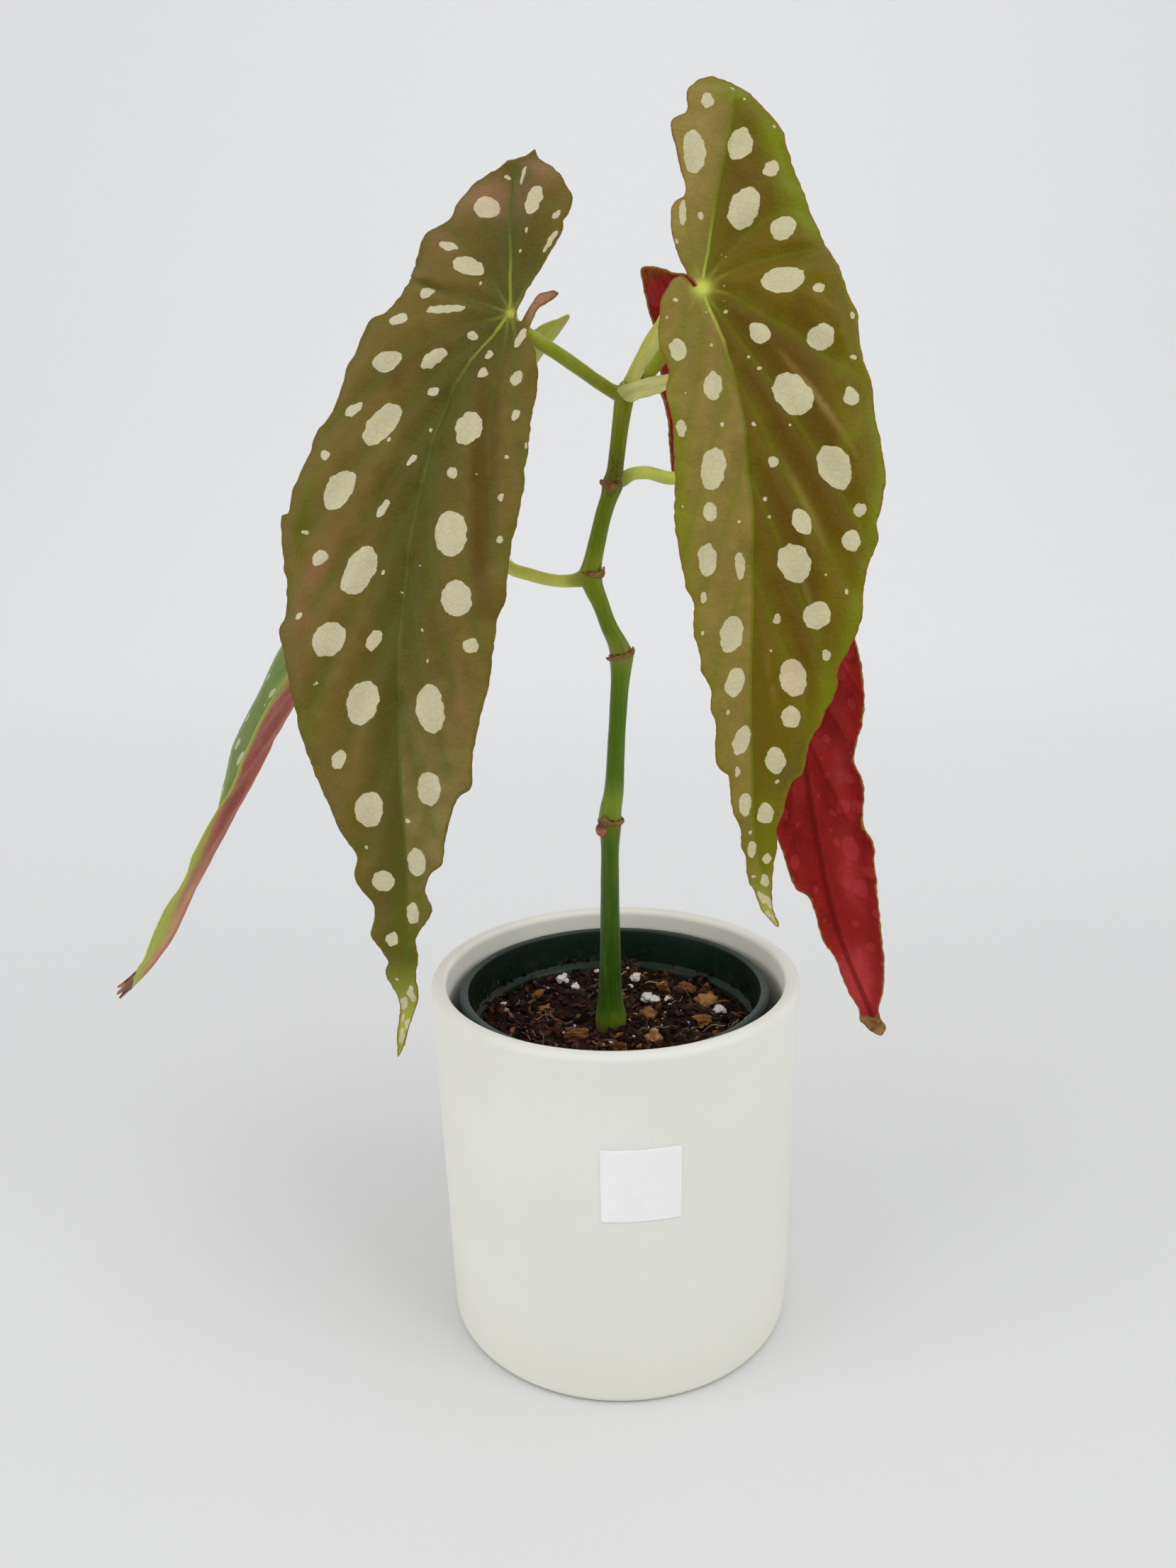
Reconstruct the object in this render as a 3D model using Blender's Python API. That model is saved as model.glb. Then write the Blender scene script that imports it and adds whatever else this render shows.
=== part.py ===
"""Potted polka dot begonia: one cane with four angel-wing leaves, rooted in a plastic nursery pot
that stands inside a ceramic cachepot. Metres, +Z up, origin at the centre of the cachepot's
underside. Lengths in this file are in millimetres, and MM turns them into metres."""

import math
import random

import bmesh
import bpy
import numpy as np
from mathutils import Matrix, Vector
from mathutils.bvhtree import BVHTree

MM = 0.001
CLEARANCE = 0.35  # between pieces that touch

# Ceramic cachepot
CACHEPOT_HEIGHT = 119.0
CACHEPOT_RIM_RADIUS = 60.0
CACHEPOT_BASE_RADIUS = 57.2
CACHEPOT_WALL = 5.0
CACHEPOT_FLOOR = 6.0
CACHEPOT_FOOT_ROUNDING = 3.0
CACHEPOT_SEGMENTS = 56

# Nursery pot, pushed a little to the back of the cachepot
NURSERY_PLACE = (-0.4, 3.0, 0.0)
NURSERY_RIM_RADIUS = 51.0
NURSERY_BASE_RADIUS = 36.0
NURSERY_SHOULDER_RADIUS = 46.6
NURSERY_SHOULDER_Z = 99.0
NURSERY_TOP_Z = 112.5
NURSERY_WALL = 1.3
NURSERY_FOOT_BEVEL = 2.0
NURSERY_LIP_WIDTH = 1.6
NURSERY_LIP_HEIGHT = 2.8
NURSERY_SEGMENTS = 48
DRAIN_HOLES = 8
DRAIN_HOLE_RADIUS = 4.0
DRAIN_RING_RADIUS = 25.0

# Potting mix
MIX_TOP_Z = 98.3
MIX_BUMPS = 0.9
MIX_WALL_GAP = 0.5
MIX_EDGE_DROP = 3.0  # the bumps stop this far above the plain sides
MIX_SEGMENTS = 36

# Blank paper label on the front of the cachepot
LABEL_SIDE = 24.0
LABEL_THICKNESS = 0.25
LABEL_CENTRE_Z = 77.0
LABEL_ANGLE = math.radians(6.5)

# Cane: (x, y, z, radius), from below the soil to the top node
CANE = (
    (-1.6, 0.4, 86, 4.0), (-1.6, 0.2, 94, 4.5), (-1.6, 0, 100.5, 5.0), (-1.6, 0, 104, 4.8),
    (-1.6, 0, 109, 4.1), (-1.5, 0, 118, 3.6), (-1.3, 0, 135, 3.2), (-1.1, 0, 152, 2.95),
    (-0.9, 0, 164, 3.05), (-0.8, 0, 167.5, 3.5), (-0.8, 0, 170, 3.8), (-0.6, 0, 172.5, 3.6),
    (0.0, 0, 178, 3.25), (0.8, 0, 190, 2.9), (1.6, 0, 205, 2.8), (2.3, 0, 216, 3.05),
    (2.8, 0, 220, 3.5), (2.9, 0, 222.4, 3.8), (2.2, 0, 225.5, 3.3), (0.0, 0, 231, 2.8),
    (-3.0, 0, 238.5, 2.75), (-5.4, 0, 243.5, 3.3), (-6.0, 0, 246.3, 3.5), (-5.6, 0, 249.5, 3.0),
    (-4.0, 0, 257, 2.5), (-2.0, 0, 265, 2.35), (0.0, 0, 270.5, 2.7), (0.8, 0, 273, 3.1),
    (1.4, 0, 276, 2.75), (2.2, 0, 282, 2.35), (3.5, 0, 291, 2.45), (4.6, 0, 297.5, 2.75),
    (7.0, -0.5, 300.8, 2.4),
)
CANE_SOCKET_RADIUS = 5.5
CANE_SOCKET_FLOOR = 85.5
CANE_SOCKET_DEPTH = 40.0

# Leaf blades. A spine's second point is where the petiole joins, and s is measured from there
# along the spine, negative into the basal lobes. The face is the upper side's direction as
# (azimuth, elevation) in degrees, at the lobe end and at the tip. The folds tilt the two halves.
BLADE_THICKNESS = 0.7
BLADE_CUTS_ACROSS = (-26, -13, -4, 0, 4, 13, 26)
BLADE_CUT_SPACING = 11.0
FRONT_LEFT = {
    "spine": (
        (-18.3, -9, 359.2), (-25, -22, 318), (-37.5, -30, 297.7), (-47, -41, 270),
        (-52.8, -50, 241.8), (-55.1, -58, 208), (-54.6, -62, 177.7), (-56.1, -63.5, 150.8),
        (-60.8, -62, 120),
    ),
    "face": ((-8, 12), (-4, 8)),
    "folds": (11, 11),
    "curl": 0.004,
    "outline": (
        (1.2, -1.1), (3, -10.6), (5, -15.5), (9.8, -24), (12, -31.5), (8, -38), (1.2, -43.5),
        (0.1, -45.5), (-6, -41.5), (-14, -37), (-18, -32.5), (-20, -26.5), (-27, -21),
        (-29.3, -9.5), (-28.6, 4.2), (-29, 17.5), (-32, 21.5), (-31.5, 35), (-35.5, 51.5),
        (-36.2, 63.5), (-37.6, 67.5), (-34.8, 79.5), (-32.8, 88.5), (-34, 93.5), (-30.5, 104.5),
        (-26.5, 119), (-21, 133), (-16.3, 145.5), (-13.6, 150), (-14, 156.5), (-9.3, 164),
        (-9.5, 172.5), (-5, 179.5), (-5.4, 183.5), (-1.2, 194.5), (0, 210.5), (2.4, 200.5),
        (3.9, 189.5), (2.7, 180.5), (2.7, 173), (6.5, 165.5), (5, 160), (6, 156), (9.8, 151.5),
        (12.4, 142), (15, 135.5), (19.2, 132), (20.4, 121), (24, 102.5), (24.6, 86.5),
        (26.4, 80), (25, 65), (24.8, 49.5), (22.6, 35.5), (18.6, 18.5), (13.3, 8.5), (6.6, 2.7),
        (6.4, -3.2), (9.2, -7.8), (5.4, -6.8), (4, -2.7), (3.6, 0.8), (2.2, 0.8),
    ),
}
FRONT_RIGHT = {
    "spine": (
        (27.4, -13, 376.5), (25.5, -30, 322), (32.6, -38, 299.7), (36, -47.5, 272),
        (36.8, -54.5, 246), (37, -59.5, 221.5), (38.3, -62.5, 193.5), (39.6, -63, 176),
        (43.6, -61, 156.6),
    ),
    "face": ((4, 12), (-4, 8)),
    "folds": (11, 11),
    "curl": 0.004,
    "outline": (
        (-1.2, -1.3), (-4.5, -8.9), (-6.7, -18), (-5, -23.5), (-3.1, -26.5), (-6.5, -37),
        (-8, -43), (-4.6, -46), (-4.7, -51.5), (-0.8, -56), (5, -56.5), (10.5, -53.5),
        (18.5, -45.5), (25, -33.5), (29.6, -21), (33.3, -8.4), (35.2, 6.3), (35.8, 20),
        (34.1, 28.5), (34.8, 39.5), (35.8, 55), (32.2, 66), (32.7, 69.5), (28.3, 82), (27.7, 88),
        (23.5, 97.5), (20.9, 107), (16.3, 116.5), (12.6, 123.5), (11.3, 129), (7.3, 134),
        (4.2, 142), (3.8, 148), (0.8, 160.5), (0.6, 171.5), (-2.7, 165), (-4.7, 155.5),
        (-5.2, 143), (-7.6, 132), (-8, 127.5), (-11, 122), (-10.5, 115.5), (-11.5, 107.5),
        (-13.6, 102), (-15.6, 91.5), (-15.7, 83), (-18.6, 73), (-19.7, 61.5), (-18.6, 42.5),
        (-17.8, 35.5), (-18, 25), (-15.4, 16.5), (-16, 12.5), (-11.7, 1.8), (-6.3, -4),
        (-3.4, -3.2), (-2, -1.1),
    ),
}
BACK_RIGHT = {
    "spine": (
        (19, 11, 340.6), (40, 20, 302), (47.4, 25.5, 278), (54, 31, 248.5), (59.5, 34, 219.6),
        (64.3, 35, 190.6), (69.6, 33, 159.5), (77.6, 27.5, 123), (92.2, 18, 85.5),
    ),
    "face": ((188, 10), (176, 10)),
    "folds": (9, 9),
    "curl": 0.004,
    "outline": (
        (-1, -1), (-3.1, -8), (-6.1, -18), (-7.7, -27), (-6.1, -34), (-1, -38), (5.1, -39.5),
        (9.2, -37.5), (11.7, -32), (14.3, -26), (18.4, -15), (22, -9), (22.8, 0), (25.9, 15.5),
        (26.5, 24.5), (25.3, 39), (24.5, 62), (21.9, 87), (19.9, 112), (17.3, 129.5),
        (16.3, 145), (13.6, 152), (12.2, 161), (11, 169.5), (7.1, 174), (6.4, 189.5), (4.6, 196),
        (4.8, 208), (3.7, 214.5), (4.5, 219.5), (0.2, 226.5), (-2.5, 224.5), (-2, 219.5),
        (-4.7, 214), (-8.7, 206), (-12.4, 193), (-14.5, 180.5), (-16.1, 166.5), (-16.9, 159),
        (-15, 153), (-17.1, 140.5), (-16.9, 135.5), (-15.2, 129.5), (-19.8, 118), (-21.8, 110),
        (-22.2, 98.5), (-20.8, 87), (-21.9, 70), (-24.5, 51.5), (-26, 35), (-26.5, 16.5),
        (-24.5, 5.1), (-19.9, -2.5), (-12.2, -6), (-5.6, -5), (-2, -1),
    ),
}
BACK_LEFT = {
    "spine": (
        (-13, 22, 320), (-43, 18, 279), (-60, 16, 256.5), (-81, 12, 233), (-101, 8, 205.8),
        (-122, 4, 170.7), (-135, -1, 148), (-146, -6, 128), (-157, -12, 116),
    ),
    "face": ((-82, 38), (-89, 36)),
    "folds": (32, 17),
    "curl": 0.003,
    "outline": (
        (-1, -1), (-4, -8), (-8, -18), (-11, -28), (-10.5, -38), (-6, -46), (0, -51.5),
        (6, -48.5), (11, -42), (15, -34), (20.5, -16), (22, 0), (24, 18), (25.6, 42),
        (27.5, 54), (26, 68), (26, 80), (27.5, 92), (23.5, 104), (18.5, 120), (20.8, 136),
        (20, 145), (15, 155.5), (18.4, 166), (16.8, 177), (11.5, 191), (6.5, 198), (1.2, 202.5),
        (-3.5, 197), (-10.5, 180), (-12.5, 171), (-16.5, 160), (-16.8, 150), (-20.5, 140),
        (-24.5, 128.5), (-31, 122), (-32, 110), (-33, 96), (-35, 85), (-33.5, 72),
        (-35, 60), (-33, 46), (-33.5, 34), (-30, 12), (-26, 3), (-20, -3.5), (-12, -6),
        (-5, -4.5), (-1.8, -0.8),
    ),
}

# Petioles run from their node on the cane to just behind their blade's joint
PETIOLES = {
    "front_left": ((2.2, -0.6, 299.7), (-1.6, -2.0, 301.9), (-7.3, -6.5, 305.2),
                   (-13.4, -11.5, 308.8), (-19.0, -15.0, 312.0)),
    "front_right": ((9.3, -1.2, 302.8), (13.5, -3.5, 305.0), (18.5, -9.0, 309.0),
                    (22.8, -17.5, 315.0)),
    "back_right": ((5.0, 0.9, 275.3), (7.0, 2.0, 276.2), (11.7, 5.0, 276.0), (20.2, 9.5, 275.0),
                   (29.5, 12.5, 277.5), (36.5, 13.5, 288.0)),
    "back_left": ((-9.9, 0.9, 245.2), (-13.5, 2.6, 244.9), (-24.1, 8.0, 246.6),
                  (-31.5, 12.0, 248.6), (-36.0, 14.5, 257.0), (-38.0, 16.5, 267.0)),
}
PETIOLE_RADIUS = 1.95
PETIOLE_NECK = 1.6
PETIOLE_LAST_RUN = 4.5  # the straight end that meets the blade square on

# Stipules, made as small blades
STIPULE_THICKNESS = 0.5
STIPULE_CUT_SPACING = 3.0
STIPULE_UPPER = {
    "spine": ((4.6, -3.9, 297.6), (6.3, -4.1, 300.8), (9.9, -6.9, 306.2), (12.9, -8.4, 312.0),
              (15.3, -9.2, 318.5)),
    "face": ((160, 0), (160, 0)),
    "folds": (6, 6),
    "curl": -0.03,
    "outline": ((-1.8, 0), (-3.0, 5), (-3.6, 10), (-2.8, 15), (0, 21.5), (2.2, 16), (3.2, 10),
                (2.8, 5), (1.6, 0)),
}
STIPULE_LOWER = {
    "spine": ((3.5, -3.6, 296.0), (6.2, -3.9, 297.6), (10.2, -5.6, 299.1), (14.5, -7.0, 300.0),
              (22.5, -9.5, 300.4)),
    "face": ((12, 28), (12, 40)),
    "folds": (4, 4),
    "curl": 0.01,
    "outline": ((-1.6, -0.5), (-2.6, 4), (-2.9, 9), (-1.8, 13.5), (0, 17), (1.8, 13), (2.7, 8),
                (2.4, 3.5), (1.5, -0.5)),
}

# Dry collars left by old stipules: node centre, lean of the ring about Y in degrees, inner
# radius, first angle and sweep in degrees (0 is +X, 90 is +Y)
COLLARS = {
    "dry_collar_1": ((-0.7, 0, 170.0), 6, 4.4, 268, 225),
    "dry_collar_2": ((2.9, 0, 222.4), -14, 4.35, 150, 290),
    "dry_collar_3": ((-5.9, 0, 248.0), 8, 4.2, 235, 270),
    "dry_collar_4": ((0.7, 0, 272.4), 14, 3.75, 100, 205),
}
COLLAR_THICKNESS = 0.4
COLLAR_HEIGHT = 1.6
COLLAR_FLARE = 0.5

# Dormant bud on the lowest node
BUD_CENTRE = (-4.1, -4.0, 167.6)
BUD_SIZE = (3.0, 2.4, 4.4)
BUD_POINT = 0.8

# Loose pieces on the mix: (x, y, turn in degrees) and their (length, width, height)
REST_GAP = 0.5
BARK_CHIPS = (
    ((11.0, 6.0, 20), (6.0, 4.5, 3.0)), ((-24.0, 11.0, 10), (8.5, 4.5, 3.2)),
    ((-13.0, -8.0, 35), (9.0, 5.0, 3.4)), ((12.0, -11.0, 80), (5.5, 4.5, 3.0)),
    ((28.5, 1.0, 5), (8.0, 5.0, 3.4)), ((17.0, 29.0, 60), (5.5, 4.0, 3.0)),
    ((25.5, 27.0, 30), (6.0, 4.0, 2.8)), ((31.5, 17.0, 50), (8.5, 3.2, 2.8)),
    ((-27.0, 23.0, 100), (5.5, 4.0, 3.0)), ((0.0, -15.0, 0), (7.0, 4.5, 2.8)),
)
PERLITE = (
    ((12.0, 15.5, 0), (6.0, 5.0, 3.8)), ((-19.0, 36.0, 30), (5.0, 3.6, 3.2)),
    ((7.5, 35.5, 15), (4.6, 3.8, 3.0)), ((-14.5, 27.5, 70), (3.6, 3.2, 2.6)),
    ((35.5, 9.0, 10), (4.4, 3.6, 2.8)), ((-6.0, -26.0, 40), (4.2, 3.4, 2.8)),
)


def finish(name, colour, roughness, metallic=0.0):
    """A plain material for one kind of piece."""
    material = bpy.data.materials.new(name)
    material.use_nodes = True
    shader = material.node_tree.nodes["Principled BSDF"]
    shader.inputs["Base Color"].default_value = (*colour, 1.0)
    shader.inputs["Roughness"].default_value = roughness
    shader.inputs["Metallic"].default_value = metallic
    return material


def add_object(name, mesh_data, material, place=(0, 0, 0), turn=(0, 0, 0), smooth=True):
    """Turns a bmesh in millimetres into a named object in metres, placed and turned (degrees)."""
    bmesh.ops.recalc_face_normals(mesh_data, faces=mesh_data.faces)
    bmesh.ops.scale(mesh_data, vec=(MM, MM, MM), verts=mesh_data.verts)
    data = bpy.data.meshes.new(name)
    mesh_data.to_mesh(data)
    mesh_data.free()
    if smooth:
        data.shade_smooth()
        data.set_sharp_from_angle(angle=math.radians(40))
    data.materials.append(material)
    added = bpy.data.objects.new(name, data)
    added.location = Vector(place) * MM
    added.rotation_euler = [math.radians(angle) for angle in turn]
    bpy.context.scene.collection.objects.link(added)
    return added


def attach(children, parent):
    """Parents pieces to what carries them, each keeping its place."""
    bpy.context.view_layer.update()
    for child in children:
        child.parent = parent
        child.matrix_parent_inverse = parent.matrix_world.inverted()


def add_cutter(name, target, mesh_data, place):
    """Cuts a shape out of the target with an exact Boolean."""
    cutter = add_object(name, mesh_data, target.data.materials[0], place, smooth=False)
    cutter.hide_render = True
    cutter.display_type = "WIRE"
    cut = target.modifiers.new(name, "BOOLEAN")
    cut.operation = "DIFFERENCE"
    cut.solver = "EXACT"
    cut.object = cutter


def arc(centre_r, centre_z, radius, first, last, steps):
    """Points of a circular arc in the (radius, height) plane, angles in degrees."""
    return [
        (centre_r + radius * math.cos(math.radians(a)), centre_z + radius * math.sin(math.radians(a)))
        for a in np.linspace(first, last, steps + 1)
    ]


def turned(profile, segments):
    """A solid turned about the Z axis, from a profile that starts and ends on it."""
    mesh = bmesh.new()
    points = [mesh.verts.new((r, 0, z)) for r, z in profile]
    edges = [mesh.edges.new(pair) for pair in zip(points, points[1:])]
    bmesh.ops.spin(
        mesh, geom=points + edges, cent=(0, 0, 0), axis=(0, 0, 1), angle=math.tau,
        steps=segments, use_merge=True,
    )
    bmesh.ops.remove_doubles(mesh, verts=mesh.verts, dist=0.001)
    return mesh


def cachepot_radius(z):
    """The cachepot's outer radius at a height: a straight, slightly flared wall."""
    share = (z - CACHEPOT_FOOT_ROUNDING) / (CACHEPOT_HEIGHT - CACHEPOT_FOOT_ROUNDING)
    return CACHEPOT_BASE_RADIUS + (CACHEPOT_RIM_RADIUS - CACHEPOT_BASE_RADIUS) * share


def make_cachepot(material):
    """Thick-walled ceramic pot with a flat underside, a rounded foot and a round lip."""
    foot = CACHEPOT_FOOT_ROUNDING
    lip = CACHEPOT_WALL / 2
    lip_z = CACHEPOT_HEIGHT - lip
    inner_foot = cachepot_radius(foot) - CACHEPOT_WALL - foot
    profile = [(0, 0)]
    profile += arc(CACHEPOT_BASE_RADIUS - foot, foot, foot, -90, 0, 4)
    profile += [(cachepot_radius(60), 60)]
    profile += arc(cachepot_radius(lip_z) - lip, lip_z, lip, 0, 180, 6)
    profile += [(cachepot_radius(60) - CACHEPOT_WALL, 60)]
    profile += arc(inner_foot, CACHEPOT_FLOOR + foot, foot, 0, -90, 3)
    profile += [(0, CACHEPOT_FLOOR)]
    return add_object("cachepot", turned(profile, CACHEPOT_SEGMENTS), material)


def make_nursery_pot(material):
    """Thin plastic grower's pot: tapered body, stepped rim band with a rolled lip, drain holes."""
    floor_z = CACHEPOT_FLOOR + CLEARANCE
    wall = NURSERY_WALL
    base = NURSERY_BASE_RADIUS
    bevel = NURSERY_FOOT_BEVEL
    shoulder = NURSERY_SHOULDER_RADIUS
    shoulder_z = NURSERY_SHOULDER_Z
    rim = NURSERY_RIM_RADIUS
    top_z = NURSERY_TOP_Z
    band = rim - NURSERY_LIP_WIDTH
    under_lip_z = top_z - NURSERY_LIP_HEIGHT
    profile = [
        (0, floor_z), (base - bevel, floor_z), (base, floor_z + bevel),
        (shoulder, shoulder_z - 1), (band - 0.6, shoulder_z + 0.6),
        (band, under_lip_z - 0.6), (rim, under_lip_z), (rim, top_z - 0.8), (rim - 0.9, top_z),
        (band - wall + 0.6, top_z), (band - wall, top_z - 0.8),
        (band - wall - 0.7, shoulder_z + 1.6), (shoulder - wall, shoulder_z + 0.4),
        (base - wall, floor_z + bevel + 1), (base - bevel - wall, floor_z + wall),
        (0, floor_z + wall),
    ]
    pot = add_object("nursery_pot", turned(profile, NURSERY_SEGMENTS), material, NURSERY_PLACE)
    holes = bmesh.new()
    for i in range(DRAIN_HOLES):
        to_hole = Matrix.Rotation(math.tau * (i + 0.5) / DRAIN_HOLES, 4, "Z")
        bmesh.ops.create_cone(
            holes, cap_ends=True, segments=10, radius1=DRAIN_HOLE_RADIUS,
            radius2=DRAIN_HOLE_RADIUS, depth=6 * NURSERY_WALL,
            matrix=to_hole @ Matrix.Translation((DRAIN_RING_RADIUS, 0, floor_z)),
        )
    add_cutter("drain_hole_cutter", pot, holes, NURSERY_PLACE)
    return pot


def mix_height(x, y):
    """Gently uneven top of the mix."""
    waves = math.sin(x * 0.19 + 1.0) * math.cos(y * 0.16) + 0.5 * math.sin(x * 0.37 - y * 0.29)
    return MIX_TOP_Z + MIX_BUMPS * waves


def nursery_inner_radius(z):
    """The nursery pot's inner radius at a height below its shoulder."""
    foot_z = CACHEPOT_FLOOR + CLEARANCE + NURSERY_FOOT_BEVEL + 1
    share = (z - foot_z) / (NURSERY_SHOULDER_Z - foot_z)
    flare = NURSERY_SHOULDER_RADIUS - NURSERY_BASE_RADIUS
    return NURSERY_BASE_RADIUS - NURSERY_WALL + flare * share


def make_mix(material):
    """The mix fills the nursery pot to its shoulder, with a socket for the buried cane."""
    floor_z = CACHEPOT_FLOOR + CLEARANCE + NURSERY_WALL + CLEARANCE
    foot_z = floor_z + 4
    edge_z = MIX_TOP_Z - MIX_EDGE_DROP
    foot = nursery_inner_radius(foot_z) - MIX_WALL_GAP
    top = nursery_inner_radius(edge_z) - MIX_WALL_GAP
    profile = [(0, floor_z), (foot - NURSERY_FOOT_BEVEL - 1, floor_z), (foot, foot_z)]
    profile += [(top, edge_z), (top - 0.2, MIX_TOP_Z - 0.6)]
    profile += [(top * share, MIX_TOP_Z) for share in (0.93, 0.78, 0.62, 0.46, 0.3, 0.15, 0)]
    mesh = turned(profile, MIX_SEGMENTS)
    for vertex in mesh.verts:
        if vertex.co.z > MIX_TOP_Z - 0.3:
            vertex.co.z = mix_height(vertex.co.x + NURSERY_PLACE[0], vertex.co.y + NURSERY_PLACE[1])
    mix = add_object("potting_mix", mesh, material, NURSERY_PLACE, smooth=False)
    socket = bmesh.new()
    bmesh.ops.create_cone(
        socket, cap_ends=True, segments=20, radius1=CANE_SOCKET_RADIUS,
        radius2=CANE_SOCKET_RADIUS, depth=CANE_SOCKET_DEPTH,
    )
    middle = (CANE[0][0], CANE[0][1] / 2, CANE_SOCKET_FLOOR + CANE_SOCKET_DEPTH / 2)
    add_cutter("cane_socket_cutter", mix, socket, middle)
    return mix


def make_label(material):
    """A square of paper wrapped on the cachepot's cone, a hair off the ceramic."""
    mesh = bmesh.new()
    bmesh.ops.create_grid(mesh, x_segments=8, y_segments=2, size=LABEL_SIDE / 2)
    for vertex in mesh.verts:
        angle = LABEL_ANGLE + vertex.co.x / cachepot_radius(LABEL_CENTRE_Z)
        z = LABEL_CENTRE_Z + vertex.co.y
        radius = cachepot_radius(z) + CLEARANCE + LABEL_THICKNESS / 2
        vertex.co = (radius * math.sin(angle), -radius * math.cos(angle), z)
    label = add_object("blank_label", mesh, material)
    wrap = label.modifiers.new("paper", "SOLIDIFY")
    wrap.thickness = LABEL_THICKNESS * MM
    wrap.offset = 0.0
    return label


def direction(azimuth, elevation):
    """A unit vector: azimuth 0 is -Y and grows towards +X, both in degrees."""
    turn, rise = math.radians(azimuth), math.radians(elevation)
    return np.array([
        math.sin(turn) * math.cos(rise), -math.cos(turn) * math.cos(rise), math.sin(rise)
    ])


def lengths_along(points):
    """Chord length from the first point to each point."""
    steps = np.linalg.norm(np.diff(points, axis=0), axis=1)
    return np.concatenate([[0.0], np.cumsum(steps)])


def smooth_through(knots, values, t):
    """A smooth curve through the values, carried straight on past its ends."""
    slopes = np.gradient(values, knots, axis=0)
    inside = min(max(t, knots[0]), knots[-1])
    i = min(int(np.searchsorted(knots, inside, side="right")) - 1, len(knots) - 2)
    span = knots[i + 1] - knots[i]
    u = (inside - knots[i]) / span
    point = (
        (2 * u**3 - 3 * u**2 + 1) * values[i] + (u**3 - 2 * u**2 + u) * span * slopes[i]
        + (3 * u**2 - 2 * u**3) * values[i + 1] + (u**3 - u**2) * span * slopes[i + 1]
    )
    return point + (t - inside) * (slopes[0] if t < inside else slopes[-1])


class Blade:
    """A leaf's curved surface: x runs across it and s along it, in millimetres."""

    SOFTNESS = 4.0  # how rounded the fold along the midrib is

    def __init__(self, shape):
        self.spine = np.array(shape["spine"], float)
        lengths = lengths_along(self.spine)
        self.knots = lengths - lengths[1]
        self.faces = [direction(*face) for face in shape["face"]]
        self.folds = [math.tan(math.radians(fold)) for fold in shape["folds"]]
        self.curl = shape["curl"]

    def frame(self, s):
        """Centre, sideways direction and upper-side normal at s."""
        centre = smooth_through(self.knots, self.spine, s)
        ahead = smooth_through(self.knots, self.spine, s + 0.5)
        behind = smooth_through(self.knots, self.spine, s - 0.5)
        along = (ahead - behind) / np.linalg.norm(ahead - behind)
        share = (s - self.knots[0]) / (self.knots[-1] - self.knots[0])
        share = min(max(share, 0.0), 1.0)
        face = (1 - share) * self.faces[0] + share * self.faces[1]
        side = np.cross(face, along)
        side /= np.linalg.norm(side)
        return centre, side, np.cross(along, side)

    def point(self, x, s):
        centre, side, normal = self.frame(s)
        fold = self.folds[0] if x < 0 else self.folds[1]
        rise = fold * (math.hypot(x, self.SOFTNESS) - self.SOFTNESS) - self.curl * x * x
        return centre + x * side + rise * normal


def make_blade(name, shape, thickness, across, along, material):
    """A flat outline, cut into a grid, bent onto its blade's surface and given a thickness."""
    blade = Blade(shape)
    mesh = bmesh.new()
    mesh.faces.new([mesh.verts.new((x, s, 0)) for x, s in shape["outline"]])
    reach = [s for _, s in shape["outline"]]
    cuts = [((x, 0, 0), (1, 0, 0)) for x in across]
    cuts += [((0, s, 0), (0, 1, 0)) for s in np.arange(min(reach) + along, max(reach), along)]
    for point, normal in cuts:
        everything = mesh.verts[:] + mesh.edges[:] + mesh.faces[:]
        bmesh.ops.bisect_plane(mesh, geom=everything, dist=0.05, plane_co=point, plane_no=normal)
    bmesh.ops.triangulate(mesh, faces=mesh.faces)
    for vertex in mesh.verts:
        vertex.co = blade.point(vertex.co.x, vertex.co.y)
    leaf = add_object(name, mesh, material)
    body = leaf.modifiers.new("thickness", "SOLIDIFY")
    body.thickness = thickness * MM
    body.offset = 0.0
    return leaf


def make_tube(name, stations, sides, material):
    """A round stem through (x, y, z, radius) stations, with closed ends."""
    curve = bpy.data.curves.new(name, "CURVE")
    curve.dimensions = "3D"
    curve.bevel_depth = MM
    curve.bevel_resolution = sides
    curve.use_fill_caps = True
    spline = curve.splines.new("POLY")
    spline.points.add(len(stations) - 1)
    for point, (x, y, z, radius) in zip(spline.points, stations):
        point.co = (x * MM, y * MM, z * MM, 1.0)
        point.radius = radius
    spline.use_smooth = True
    curve.materials.append(material)
    tube = bpy.data.objects.new(name, curve)
    bpy.context.scene.collection.objects.link(tube)
    return tube


def smooth_stations(stations, spacing):
    """Stations read from the smooth curve through the given ones."""
    values = np.array(stations, float)
    knots = lengths_along(values[:, :3])
    count = max(2, round(knots[-1] / spacing) + 1)
    return [smooth_through(knots, values, t) for t in np.linspace(0, knots[-1], count)]


def make_petiole(name, route, shape, material):
    """A petiole from its node on the cane, ending square on the back of its blade."""
    joint, _, normal = Blade(shape).frame(0.0)
    away = BLADE_THICKNESS / 2 + CLEARANCE
    end = joint - normal * away
    before = joint - normal * (away + PETIOLE_LAST_RUN)
    radii = [PETIOLE_RADIUS] * len(route) + [PETIOLE_NECK, PETIOLE_NECK]
    points = [*route, tuple(before), tuple(end)]
    stations = [(*point, radius) for point, radius in zip(points, radii)]
    return make_tube(name, smooth_stations(stations, 3.0), 3, material)


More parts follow.
